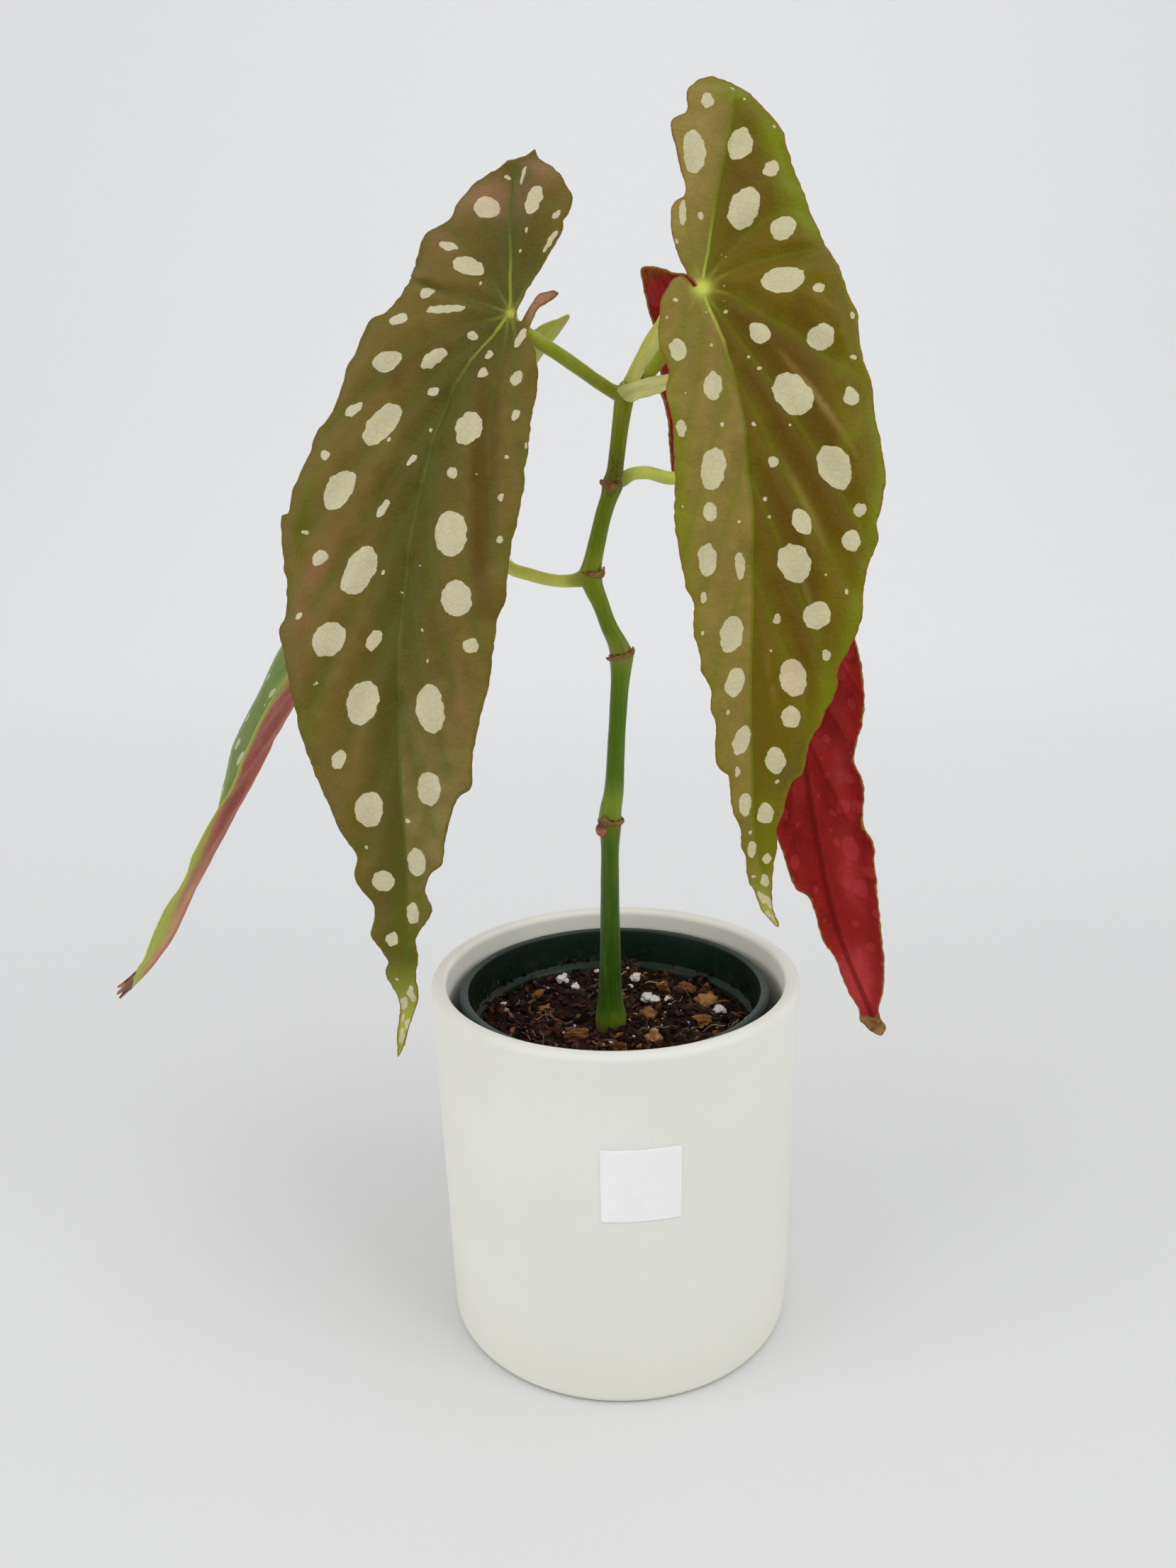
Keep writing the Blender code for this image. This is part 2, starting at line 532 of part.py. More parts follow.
def make_collar(name, centre, lean, inner, first, sweep, material):
    """A ragged dry band partly round a node, tapering at its two ends."""
    ragged = random.Random(name)
    steps = max(6, round(sweep / 20))
    tops = [ragged.uniform(0.2, 0.7) for _ in range(steps + 1)]
    mesh = bmesh.new()
    bmesh.ops.create_grid(mesh, x_segments=steps, y_segments=1, size=0.5)
    for vertex in mesh.verts:
        i = round((vertex.co.x + 0.5) * steps)
        turn = math.radians(first + sweep * i / steps)
        upper = vertex.co.y > 0
        full = min(1.0, 0.35 + 3.0 * min(i, steps - i) / steps)
        radius = inner + COLLAR_THICKNESS / 2 + (COLLAR_FLARE if upper else 0)
        height = COLLAR_HEIGHT * full * (tops[i] if upper else -0.5)
        vertex.co = (radius * math.cos(turn), radius * math.sin(turn), height)
    collar = add_object(name, mesh, material, centre, (0, lean, 0), smooth=False)
    skin = collar.modifiers.new("skin", "SOLIDIFY")
    skin.thickness = COLLAR_THICKNESS * MM
    skin.offset = 0.0
    return collar


def lump(seed, size, roughness):
    """An uneven pebble-like shape about the origin."""
    uneven = random.Random(seed)
    mesh = bmesh.new()
    bmesh.ops.create_icosphere(mesh, subdivisions=2, radius=0.5)
    for vertex in mesh.verts:
        vertex.co *= 1 + uneven.uniform(-roughness, roughness)
    bmesh.ops.scale(mesh, vec=size, verts=mesh.verts)
    return mesh


def make_bud(material):
    """A small pointed bud against the lowest node."""
    mesh = lump("bud", BUD_SIZE, 0.04)
    for vertex in mesh.verts:
        if vertex.co.z > 0.3 * BUD_SIZE[2]:
            vertex.co.z += BUD_POINT
    return add_object("dormant_bud", mesh, material, BUD_CENTRE)


def resting_height(mesh, x, y, turn, ground):
    """The height at which a turned piece at (x, y) lies just above the mix."""
    pose = Matrix.Translation((x, y, 0)) @ Matrix.Rotation(math.radians(turn), 4, "Z")
    heights = []
    for vertex in mesh.verts:
        place = pose @ vertex.co
        above = Vector((place.x * MM, place.y * MM, 1.0))
        hit = ground.ray_cast(above, Vector((0, 0, -1)))[0]
        heights.append(hit.z / MM - place.z)
    return REST_GAP + max(heights)


def make_loose_pieces(prefix, pieces, roughness, mix, material):
    """Numbered lumps lying on the mix."""
    bpy.context.view_layer.update()
    evaluated = bpy.context.evaluated_depsgraph_get()
    ground = BVHTree.FromObject(mix, evaluated)
    offset = Vector(NURSERY_PLACE)
    lumps = []
    for number, ((x, y, turn), size) in enumerate(pieces, 1):
        mesh = lump(f"{prefix}{number}", size, roughness)
        z = resting_height(mesh, x - offset.x, y - offset.y, turn, ground)
        lumps.append(
            add_object(f"{prefix}_{number}", mesh, material, (x, y, z), (0, 0, turn), smooth=False)
        )
    return lumps


for old in list(bpy.data.objects):
    bpy.data.objects.remove(old)

glaze = finish("matte_ceramic", (0.85, 0.85, 0.81), 0.45)
green_plastic = finish("green_plastic", (0.01, 0.06, 0.035), 0.4)
soil = finish("potting_mix", (0.035, 0.02, 0.012), 0.95)
paper = finish("label_paper", (0.93, 0.93, 0.93), 0.6)
cane_green = finish("cane_green", (0.07, 0.2, 0.02), 0.4)
petiole_green = finish("petiole_green", (0.33, 0.45, 0.07), 0.4)
leaf_green = finish("leaf_green", (0.16, 0.16, 0.03), 0.4)
pale_green = finish("stipule_green", (0.5, 0.58, 0.25), 0.5)
dry_brown = finish("dry_brown", (0.16, 0.06, 0.02), 0.8)
bark = finish("bark", (0.32, 0.17, 0.06), 0.9)
white_mineral = finish("perlite", (0.75, 0.72, 0.66), 0.9)

cachepot = make_cachepot(glaze)
nursery_pot = make_nursery_pot(green_plastic)
potting_mix = make_mix(soil)
attach([nursery_pot, make_label(paper)], cachepot)
attach([potting_mix], nursery_pot)
attach(make_loose_pieces("bark_chip", BARK_CHIPS, 0.16, potting_mix, bark), potting_mix)
attach(make_loose_pieces("perlite", PERLITE, 0.12, potting_mix, white_mineral), potting_mix)

cane = make_tube("cane", smooth_stations(CANE, 4.0), 4, cane_green)
attach([cane], potting_mix)
LEAVES = {
    "front_left": FRONT_LEFT, "front_right": FRONT_RIGHT,
    "back_right": BACK_RIGHT, "back_left": BACK_LEFT,
}
for side, leaf_shape in LEAVES.items():
    petiole = make_petiole(f"petiole_{side}", PETIOLES[side], leaf_shape, petiole_green)
    leaf = make_blade(
        f"leaf_{side}", leaf_shape, BLADE_THICKNESS, BLADE_CUTS_ACROSS, BLADE_CUT_SPACING,
        leaf_green,
    )
    attach([petiole], cane)
    attach([leaf], petiole)

STIPULES = {"stipule_upper": STIPULE_UPPER, "stipule_lower": STIPULE_LOWER}
stipules = [
    make_blade(name, shape, STIPULE_THICKNESS, (0,), STIPULE_CUT_SPACING, pale_green)
    for name, shape in STIPULES.items()
]
collars = [make_collar(name, *shape, dry_brown) for name, shape in COLLARS.items()]
attach([*stipules, *collars, make_bud(dry_brown)], cane)
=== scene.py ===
"""Potted polka dot begonia: its fine shapes, materials, studio light and camera, built round the
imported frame. Every piece is drawn in millimetres and turned into metres as it is finished."""

import math
import random

import bmesh
import bpy
import numpy as np
from mathutils import Matrix, Vector, noise
from mathutils.bvhtree import BVHTree


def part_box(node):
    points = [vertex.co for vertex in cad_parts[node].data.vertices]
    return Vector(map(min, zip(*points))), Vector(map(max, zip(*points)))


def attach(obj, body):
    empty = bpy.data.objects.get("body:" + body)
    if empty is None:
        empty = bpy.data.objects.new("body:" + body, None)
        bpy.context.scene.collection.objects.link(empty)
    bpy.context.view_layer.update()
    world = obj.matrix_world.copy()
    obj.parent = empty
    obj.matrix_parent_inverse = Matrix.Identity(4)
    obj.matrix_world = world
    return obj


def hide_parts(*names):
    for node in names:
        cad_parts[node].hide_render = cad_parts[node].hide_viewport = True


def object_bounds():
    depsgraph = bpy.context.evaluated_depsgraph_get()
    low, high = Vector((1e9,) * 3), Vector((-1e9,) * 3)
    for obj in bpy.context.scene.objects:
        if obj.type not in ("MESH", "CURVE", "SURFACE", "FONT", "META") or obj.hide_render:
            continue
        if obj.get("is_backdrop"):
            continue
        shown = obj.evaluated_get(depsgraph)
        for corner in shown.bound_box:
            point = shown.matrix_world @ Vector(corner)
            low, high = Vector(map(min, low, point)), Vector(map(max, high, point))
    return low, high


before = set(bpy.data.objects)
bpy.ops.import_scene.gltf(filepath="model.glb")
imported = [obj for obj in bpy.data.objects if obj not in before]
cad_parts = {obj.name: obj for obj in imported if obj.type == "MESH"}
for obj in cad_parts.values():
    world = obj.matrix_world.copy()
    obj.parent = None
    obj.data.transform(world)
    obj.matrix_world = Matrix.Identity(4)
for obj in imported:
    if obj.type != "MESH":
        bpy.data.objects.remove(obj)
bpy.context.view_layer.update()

# ---- Cachepot ----------------------------------------------------------------------------------
# A slip-cast stoneware cover pot under a matte off-white glaze. It is turned from one wall
# profile, with a rounded foot, a slightly flared side and a soft round lip, and it stands flat.

MM = 0.001
POT_HEIGHT = 119.0
POT_LIP_RADIUS = 60.0
POT_FOOT_RADIUS = 57.2
POT_WALL = 5.0
POT_FLOOR = 6.0
POT_FOOT_ROUND = 3.0
GROOVE_INNER, GROOVE_OUTER, GROOVE_DEPTH = 46.0, 52.0, 0.5
GLAZE_WAVE = 0.07


def as_object(name, mesh):
    """Puts a bmesh in the scene as an object of its own."""
    data = bpy.data.meshes.new(name)
    mesh.to_mesh(data)
    mesh.free()
    made = bpy.data.objects.new(name, data)
    bpy.context.scene.collection.objects.link(made)
    return made


def finished(name, mesh, materials, nodes=(), sharp=None):
    """Makes a bmesh drawn in millimetres a finished piece that stands for the named nodes. Edges
    that turn by more than sharp degrees stay crisp."""
    bmesh.ops.scale(mesh, vec=(MM, MM, MM), verts=mesh.verts)
    piece = as_object(name, mesh)
    piece.data.shade_smooth()
    if sharp is not None:
        piece.data.set_sharp_from_angle(angle=math.radians(sharp))
    for material in materials:
        piece.data.materials.append(material)
    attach(piece, "root")
    if nodes:
        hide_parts(*nodes)
    return piece


def arc(centre_r, centre_z, radius, first, last, steps):
    """Points of a circular arc in the (radius, height) plane, angles in degrees."""
    turns = [math.radians(a) for a in np.linspace(first, last, steps + 1)]
    return [(centre_r + radius * math.cos(a), centre_z + radius * math.sin(a)) for a in turns]


def turned(profile, segments):
    """A closed solid turned about Z, from a profile that starts and ends on that axis."""
    mesh = bmesh.new()
    points = [mesh.verts.new((r, 0, z)) for r, z in profile]
    edges = [mesh.edges.new(pair) for pair in zip(points, points[1:])]
    bmesh.ops.spin(
        mesh, geom=points + edges, cent=(0, 0, 0), axis=(0, 0, 1), angle=math.tau,
        steps=segments, use_merge=True,
    )
    bmesh.ops.remove_doubles(mesh, verts=mesh.verts, dist=0.001)
    bmesh.ops.recalc_face_normals(mesh, faces=mesh.faces)
    return mesh


def spaced(points, longest):
    """The same open line with points added so that no step is longer than that."""
    line = [points[0]]
    for (r0, z0), (r1, z1) in zip(points, points[1:]):
        steps = max(1, math.ceil(math.hypot(r1 - r0, z1 - z0) / longest))
        for i in range(1, steps + 1):
            line.append((r0 + (r1 - r0) * i / steps, z0 + (z1 - z0) * i / steps))
    return line


class Graph:
    """A material or node group under construction, with short calls for the nodes used here."""

    def __init__(self, tree):
        self.tree = tree

    def node(self, kind, inputs=None, **settings):
        made = self.tree.nodes.new("ShaderNode" + kind)
        for key, value in settings.items():
            setattr(made, key, value)
        for key, value in (inputs or {}).items():
            self.feed(made.inputs[key], value)
        return made

    def feed(self, socket, value):
        """Gives a socket its value, which may be another node's socket or an RGB colour."""
        if isinstance(value, bpy.types.NodeSocket):
            self.tree.links.new(value, socket)
        elif isinstance(value, tuple) and len(value) == 3 and socket.type == "RGBA":
            socket.default_value = (*value, 1.0)
        else:
            socket.default_value = value

    def math(self, operation, first, second=0.0, clamp=False):
        made = self.node("Math", {0: first, 1: second}, operation=operation, use_clamp=clamp)
        return made.outputs[0]

    def mix(self, share, first, second):
        """The first colour, with that share of the second over it."""
        made = self.node("Mix", {0: share, 6: first, 7: second}, data_type="RGBA")
        return made.outputs[2]

    def ramp(self, value, low, high, to_low=0.0, to_high=1.0, kind="SMOOTHSTEP"):
        """A value eased from one range to another, and held beyond its ends."""
        made = self.node(
            "MapRange", {0: value, 1: low, 2: high, 3: to_low, 4: to_high},
            interpolation_type=kind,
        )
        return made.outputs[0]

    def stops(self, value, *colours):
        """A colour ramp through (place, colour) stops."""
        made = self.node("ValToRGB", {0: value})
        elements = made.color_ramp.elements
        for element, (place, colour) in zip(elements, (colours[0], colours[-1])):
            element.position = place
            element.color = (*colour, 1.0)
        for place, colour in colours[1:-1]:
            elements.new(place).color = (*colour, 1.0)
        return made.outputs[0]

    def noise(self, vector, scale, detail=2.0, rough=0.5, warp=0.0):
        made = self.node(
            "TexNoise",
            {"Vector": vector, "Scale": scale, "Detail": detail, "Roughness": rough, "Distortion": warp},
        )
        return made.outputs[0]

    def cells(self, vector, scale, feature="F1"):
        return self.node("TexVoronoi", {"Vector": vector, "Scale": scale}, feature=feature).outputs[0]

    def value(self, attribute):
        """A number that each point of the piece keeps under that name."""
        return self.node("Attribute", attribute_name=attribute).outputs["Fac"]

    def place(self):
        return self.node("TexCoord").outputs["Object"]

    def stretched(self, vector, scale):
        return self.node("Mapping", {"Vector": vector, "Scale": scale}).outputs[0]

    def bump(self, height, distance, strength):
        inputs = {"Height": height, "Distance": distance, "Strength": strength}
        return self.node("Bump", inputs).outputs[0]

    def group(self, tree, **inputs):
        made = self.tree.nodes.new("ShaderNodeGroup")
        made.node_tree = tree
        for key, value in inputs.items():
            self.feed(made.inputs[key], value)
        return made


def new_material(name, roughness, **plain):
    """An empty material; plain holds values that are the same all over the surface."""
    material = bpy.data.materials.new(name)
    material.use_nodes = True
    shader = material.node_tree.nodes["Principled BSDF"]
    shader.inputs["Roughness"].default_value = roughness
    for key, value in plain.items():
        shader.inputs[key.replace("_", " ")].default_value = value
    return material, Graph(material.node_tree), shader.inputs


def new_group(name, inputs, outputs):
    """A shader node group with float, colour or vector sockets."""
    tree = bpy.data.node_groups.new(name, "ShaderNodeTree")
    for label, kind in inputs:
        tree.interface.new_socket(label, in_out="INPUT", socket_type="NodeSocket" + kind)
    for label, kind in outputs:
        tree.interface.new_socket(label, in_out="OUTPUT", socket_type="NodeSocket" + kind)
    start = tree.nodes.new("NodeGroupInput")
    end = tree.nodes.new("NodeGroupOutput")
    return tree, Graph(tree), start.outputs, end.inputs


# Mottle, shared by most materials: a cloudy mask for tone and a finer one for grain
mottle, graph, given, out = new_group(
    "mottle",
    [("Vector", "Vector"), ("Cloud Scale", "Float"), ("Grain Scale", "Float")],
    [("Cloud", "Float"), ("Grain", "Float")],
)
clouds = graph.noise(given["Vector"], given["Cloud Scale"], 4.0, 0.55)
graph.feed(out["Cloud"], graph.ramp(clouds, 0.3, 0.7))
graph.feed(out["Grain"], graph.noise(given["Vector"], given["Grain Scale"], 3.0, 0.6))

glaze, graph, shader = new_material("matte_glaze", 0.5)
place = graph.place()
tone = graph.group(mottle, Vector=place, **{"Cloud Scale": 22.0, "Grain Scale": 900.0})
height = graph.node("SeparateXYZ", {0: place}).outputs[2]
body = graph.mix(tone.outputs["Cloud"], (0.80, 0.805, 0.735), (0.835, 0.84, 0.77))
warm_foot = graph.ramp(height, 0.0, 0.035, 0.55, 0.0)
body = graph.mix(warm_foot, body, (0.80, 0.79, 0.69))
across = graph.math("POWER", graph.node("SeparateXYZ", {0: place}).outputs[0], 2.0)
deep = graph.math("POWER", graph.node("SeparateXYZ", {0: place}).outputs[1], 2.0)
from_axis = graph.math("SQRT", graph.math("ADD", across, deep))
# painted light: the inside of the wall gets a lighter glaze colour than the outside, standing in for
# light that reaches in there
inner_wall = (POT_FOOT_RADIUS - 1.1) * MM
inside = graph.ramp(from_axis, inner_wall + 0.0005, inner_wall - 0.0005)
body = graph.mix(inside, body, (0.95, 0.95, 0.86))
pin_holes = graph.ramp(graph.cells(place, 190.0), 0.03, 0.06, 0.35, 0.0)
rare = graph.ramp(graph.noise(place, 45.0, 1.0), 0.6, 0.66)
body = graph.mix(graph.math("MULTIPLY", pin_holes, rare), body, (0.45, 0.40, 0.32))
bare_clay = graph.ramp(height, 0.9 * MM, GROOVE_DEPTH * MM)
clay = graph.mix(tone.outputs["Grain"], (0.66, 0.60, 0.50), (0.74, 0.69, 0.60))
body = graph.mix(bare_clay, body, clay)
graph.feed(shader["Base Color"], body)
matte = graph.ramp(tone.outputs["Grain"], 0.2, 0.8, 0.44, 0.58)
graph.feed(shader["Roughness"], graph.math("ADD", matte, graph.math("MULTIPLY", bare_clay, 0.3)))
graph.feed(shader["Normal"], graph.bump(tone.outputs["Grain"], 0.00004, 0.6))


def pot_radius(z):
    """The cachepot's outer radius at a height."""
    share = (z - POT_FOOT_ROUND) / (POT_HEIGHT - POT_FOOT_ROUND)
    return POT_FOOT_RADIUS + (POT_LIP_RADIUS - POT_FOOT_RADIUS) * share


lip = POT_WALL / 2
lip_z = POT_HEIGHT - lip
profile = [(0, 0), (GROOVE_INNER, 0), (GROOVE_INNER + 0.6, GROOVE_DEPTH)]
profile += [(GROOVE_OUTER - 0.5, GROOVE_DEPTH), (GROOVE_OUTER, 0)]
profile += arc(POT_FOOT_RADIUS - POT_FOOT_ROUND, POT_FOOT_ROUND, POT_FOOT_ROUND, -88, 0, 10)
profile += arc(pot_radius(lip_z) - lip, lip_z, lip, 0, 180, 18)
inner_foot = pot_radius(POT_FOOT_ROUND) - POT_WALL - POT_FOOT_ROUND
profile += arc(inner_foot, POT_FLOOR + POT_FOOT_ROUND, POT_FOOT_ROUND, 0, -90, 8)
profile += [(0, POT_FLOOR)]
shell = turned(spaced(profile, longest=6.0), segments=144)
for vertex in shell.verts:
    # the glaze is never quite even
    if 1 < vertex.co.z < POT_HEIGHT - 1:
        vertex.co += vertex.normal * GLAZE_WAVE * noise.noise(vertex.co * 0.035)
finished("cover_pot", shell, [glaze], ["cachepot"], sharp=40)

# ---- Nursery pot -------------------------------------------------------------------------------
# A thin injection-moulded grower's pot in dark green polypropylene. It tapers, steps out to a
# rim band with a rolled lip, and stands on the cachepot's floor, a little towards the back.

GROWER_X, GROWER_Y = -0.4, 3.0
GROWER_RIM = 51.0
GROWER_BASE = 36.0
GROWER_SHOULDER = 46.6
GROWER_SHOULDER_Z = 99.0
GROWER_TOP_Z = 112.5
GROWER_WALL = 1.3
TOUCH = 0.35
DRAIN_HOLES = 8
DRAIN_RADIUS = 4.0
DRAIN_REACH = 25.0

plastic, graph, shader = new_material("green_polypropylene", 0.36, Specular_IOR_Level=0.3)
place = graph.place()
tone = graph.group(mottle, Vector=place, **{"Cloud Scale": 60.0, "Grain Scale": 700.0})
green = graph.mix(tone.outputs["Cloud"], (0.0030, 0.0135, 0.0070), (0.0048, 0.0210, 0.0110))
height = graph.node("SeparateXYZ", {0: place}).outputs[2]
# painted highlight: a thin band at the top of the rim is coloured a lighter grey-green, for the light
# caught along the lip
painted_rim_highlight = graph.ramp(height, (GROWER_TOP_Z - 1.3) * MM, (GROWER_TOP_Z - 0.1) * MM)
green = graph.mix(graph.math("MULTIPLY", painted_rim_highlight, 0.3), green, (0.035, 0.065, 0.055))
dusted = graph.ramp(graph.noise(place, 260.0, 4.0), 0.5, 0.72)
low_down = graph.ramp(height, (GROWER_TOP_Z - 4.5) * MM, (GROWER_SHOULDER_Z - 1.0) * MM)
dust = graph.math("MULTIPLY", low_down, dusted)
green = graph.mix(graph.math("MULTIPLY", dust, 0.75), green, (0.07, 0.045, 0.028))
graph.feed(shader["Base Color"], green)
gloss = graph.ramp(tone.outputs["Grain"], 0.3, 0.75, 0.30, 0.46)
graph.feed(shader["Roughness"], graph.math("ADD", gloss, graph.math("MULTIPLY", dust, 0.35)))
graph.feed(shader["Normal"], graph.bump(graph.math("ADD", tone.outputs["Grain"], dust), 0.00005, 0.5))

floor_z = POT_FLOOR + TOUCH
band = GROWER_RIM - 1.6
profile = [(0, floor_z), (GROWER_BASE - 2, floor_z), (GROWER_BASE - 0.6, floor_z + 0.6)]
profile += [(GROWER_BASE, floor_z + 2), (GROWER_SHOULDER, GROWER_SHOULDER_Z - 1)]
profile += [(band - 0.6, GROWER_SHOULDER_Z + 0.6), (band, GROWER_TOP_Z - 3.4)]
profile += arc(GROWER_RIM - 0.9, GROWER_TOP_Z - 1.9, 0.9, -90, 0, 3)
profile += arc(GROWER_RIM - 0.9, GROWER_TOP_Z - 0.9, 0.9, 0, 90, 4)
profile += arc(band - GROWER_WALL + 0.6, GROWER_TOP_Z - 0.6, 0.6, 90, 180, 3)
profile += [(band - GROWER_WALL - 0.7, GROWER_SHOULDER_Z + 1.8)]
profile += [(band - GROWER_WALL - 1.1, GROWER_SHOULDER_Z + 1.4)]
profile += [(GROWER_SHOULDER - GROWER_WALL + 0.3, GROWER_SHOULDER_Z + 0.7)]
profile += [(GROWER_SHOULDER - GROWER_WALL, GROWER_SHOULDER_Z + 0.2)]
profile += [(GROWER_BASE - GROWER_WALL, floor_z + 3)]
profile += [(GROWER_BASE - 2 - GROWER_WALL, floor_z + GROWER_WALL), (0, floor_z + GROWER_WALL)]
grower = turned(spaced(profile, longest=8.0), segments=128)
bmesh.ops.translate(grower, vec=(GROWER_X, GROWER_Y, 0), verts=grower.verts)
grower_pot = finished(
    "grower_pot", grower, [plastic], ["nursery_pot"], sharp=40
)

punch = bmesh.new()
for i in range(DRAIN_HOLES):
    turn = Matrix.Rotation(math.tau * (i + 0.5) / DRAIN_HOLES, 4, "Z")
    spot = Matrix.Translation((GROWER_X, GROWER_Y, floor_z)) @ turn
    bmesh.ops.create_cone(
        punch, cap_ends=True, segments=24, radius1=DRAIN_RADIUS, radius2=DRAIN_RADIUS, depth=6,
        matrix=spot @ Matrix.Translation((DRAIN_REACH, 0, 0)),
    )
bmesh.ops.scale(punch, vec=(MM, MM, MM), verts=punch.verts)
drain_punch = as_object("drain_punch", punch)
holes = grower_pot.modifiers.new("drain_holes", "BOOLEAN")
holes.operation = "DIFFERENCE"
holes.solver = "EXACT"
holes.object = drain_punch
bpy.context.view_layer.update()
evaluated = grower_pot.evaluated_get(bpy.context.evaluated_depsgraph_get())
drained = bpy.data.meshes.new_from_object(evaluated)
grower_pot.modifiers.clear()
grower_pot.data = drained
bpy.data.objects.remove(drain_punch)

# ---- Potting mix -------------------------------------------------------------------------------
# Bark, peat and perlite, filled to the nursery pot's shoulder. The body is turned with a rough
# top, and crumbs, shreds, chips, perlite and a few pale roots lie on it in small pieces.

MIX_Z = 98.3
MIX_RADIUS = 44.6
MIX_FLOOR = 8.4
CANE_X = -1.6
CANE_CLEAR = 5.8
CHIP_SHARE, CHIP_SINK = 0.86, 0.9
LUMP_SINK = 0.3
ROOTS = 34
WALL_CRUMBS, RIM_CRUMBS = 260, 420


def mix_height(x, y):
    """Gently uneven top of the mix, with clods."""
    waves = math.sin(x * 0.19 + 1.0) * math.cos(y * 0.16) + 0.5 * math.sin(x * 0.37 - y * 0.29)
    clods = noise.fractal(Vector((x * 0.16, y * 0.16, 3.0)), 0.8, 2.1, 4)
    grit = noise.fractal(Vector((x * 0.6, y * 0.6, 8.0)), 0.7, 2.0, 3)
    return MIX_Z + 0.9 * waves + 1.1 * clods + 0.55 * grit


soil, graph, shader = new_material("peat_and_bark", 0.92, Specular_IOR_Level=0.12)
place = graph.place()
tone = graph.group(mottle, Vector=place, **{"Cloud Scale": 190.0, "Grain Scale": 1400.0})
brown = graph.stops(
    graph.noise(place, 420.0, 5.0, 0.65),
    (0.30, (0.006, 0.004, 0.003)), (0.5, (0.022, 0.012, 0.007)), (0.66, (0.060, 0.028, 0.014)),
    (0.80, (0.14, 0.075, 0.035)),
)
brown = graph.mix(graph.math("MULTIPLY", tone.outputs["Cloud"], 0.6), brown, (0.010, 0.006, 0.004))
graph.feed(shader["Base Color"], brown)
graph.feed(shader["Roughness"], graph.ramp(tone.outputs["Grain"], 0.2, 0.8, 0.75, 1.0))
graph.feed(shader["Normal"], graph.bump(tone.outputs["Grain"], 0.0005, 0.9))

profile = [(0, MIX_FLOOR), (33, MIX_FLOOR), (34.6, 12.5), (44.2, 95), (MIX_RADIUS, 97.2)]
profile += [(MIX_RADIUS * share, MIX_Z) for share in np.linspace(0.985, 0, 72)]
heap = turned(profile, segments=200)
bmesh.ops.translate(heap, vec=(GROWER_X, GROWER_Y, 0), verts=heap.verts)
for vertex in heap.verts:
    if vertex.co.z > MIX_Z - 0.05:
        vertex.co.z = mix_height(vertex.co.x, vertex.co.y)
mix_top = BVHTree.FromBMesh(heap)
finished("mix_body", heap, [soil], ["potting_mix"])


def ground(x, y):
    """Height of the mix under a point."""
    hit = mix_top.ray_cast(Vector((x, y, 150)), Vector((0, 0, -1)))[0]
    return hit.z if hit else MIX_Z


def bit_material(name, roughness, dark, middle, light, grain, relief):
    """Loose bits, each with its own tone, streaked by a fine grain."""
    material, graph, shader = new_material(name, roughness, Specular_IOR_Level=0.15)
    place = graph.place()
    tone = graph.group(mottle, Vector=place, **{"Cloud Scale": grain * 0.3, "Grain Scale": grain})
    share = graph.math("ADD", graph.value("tone"), graph.math("MULTIPLY", tone.outputs["Cloud"], 0.25))
    share = graph.math("SUBTRACT", share, 0.12, clamp=True)
    colour = graph.stops(share, (0.0, dark), (0.55, middle), (1.0, light))
    colour = graph.mix(graph.ramp(tone.outputs["Grain"], 0.45, 0.75, 0.0, 0.45), colour, dark)
    graph.feed(shader["Base Color"], colour)
    graph.feed(shader["Roughness"], graph.ramp(tone.outputs["Grain"], 0.2, 0.8, roughness - 0.12, 1.0))
    graph.feed(shader["Normal"], graph.bump(tone.outputs["Grain"], relief, 0.9))
    return material


crumb_finish = bit_material(
    "dark_crumbs", 0.9, (0.004, 0.0025, 0.002), (0.022, 0.010, 0.005), (0.085, 0.034, 0.014),
    grain=900, relief=0.0004,
)
shred_finish = bit_material(
    "bark_shreds", 0.85, (0.018, 0.008, 0.005), (0.085, 0.035, 0.017), (0.21, 0.11, 0.05),
    grain=1300, relief=0.0003,
)
chip_finish = bit_material(
    "wood_chips", 0.85, (0.05, 0.018, 0.007), (0.24, 0.105, 0.030), (0.46, 0.28, 0.11),
    grain=800, relief=0.0004,
)
perlite_finish = bit_material(
    "perlite", 0.9, (0.34, 0.30, 0.25), (0.66, 0.63, 0.58), (0.86, 0.85, 0.82),
    grain=1500, relief=0.0004,
)
root_finish = bit_material(
    "dry_roots", 0.75, (0.12, 0.075, 0.04), (0.27, 0.19, 0.10), (0.48, 0.38, 0.24),
    grain=700, relief=0.0002,
)


def add_lump(mesh, tones, centre, size, spin, chance, rough, tone, detail=1):
    """Adds one uneven lump to a bmesh and notes its tone for each of its points."""
    made = bmesh.ops.create_icosphere(mesh, subdivisions=detail, radius=0.5)["verts"]
    seed = Vector((chance.uniform(0, 99), chance.uniform(0, 99), chance.uniform(0, 99)))
    for vertex in made:
        vertex.co *= 1 + rough * noise.noise(vertex.co * 2.6 + seed) * 2
    bmesh.ops.scale(mesh, vec=size, verts=made)
    bmesh.ops.rotate(mesh, verts=made, matrix=spin.to_3x3(), cent=(0, 0, 0))
    bmesh.ops.translate(mesh, vec=centre, verts=made)
    tones.extend([tone] * len(made))


def any_turn(chance, lean=0.5):
    """A random heading with some lean."""
    about_x, about_y = chance.uniform(-lean, lean), chance.uniform(-lean, lean)
    heading = Matrix.Rotation(chance.uniform(0, math.tau), 4, "Z")
    return heading @ Matrix.Rotation(about_x, 4, "X") @ Matrix.Rotation(about_y, 4, "Y")


def on_the_mix(chance):
    """A random place on top of the mix, clear of the cane."""
    reach = MIX_RADIUS - 0.8
    while True:
        x, y = chance.uniform(-reach, reach), chance.uniform(-reach, reach)
        from_cane = math.hypot(x + GROWER_X - CANE_X, y + GROWER_Y)
        if math.hypot(x, y) < reach and from_cane > CANE_CLEAR:
            return x + GROWER_X, y + GROWER_Y


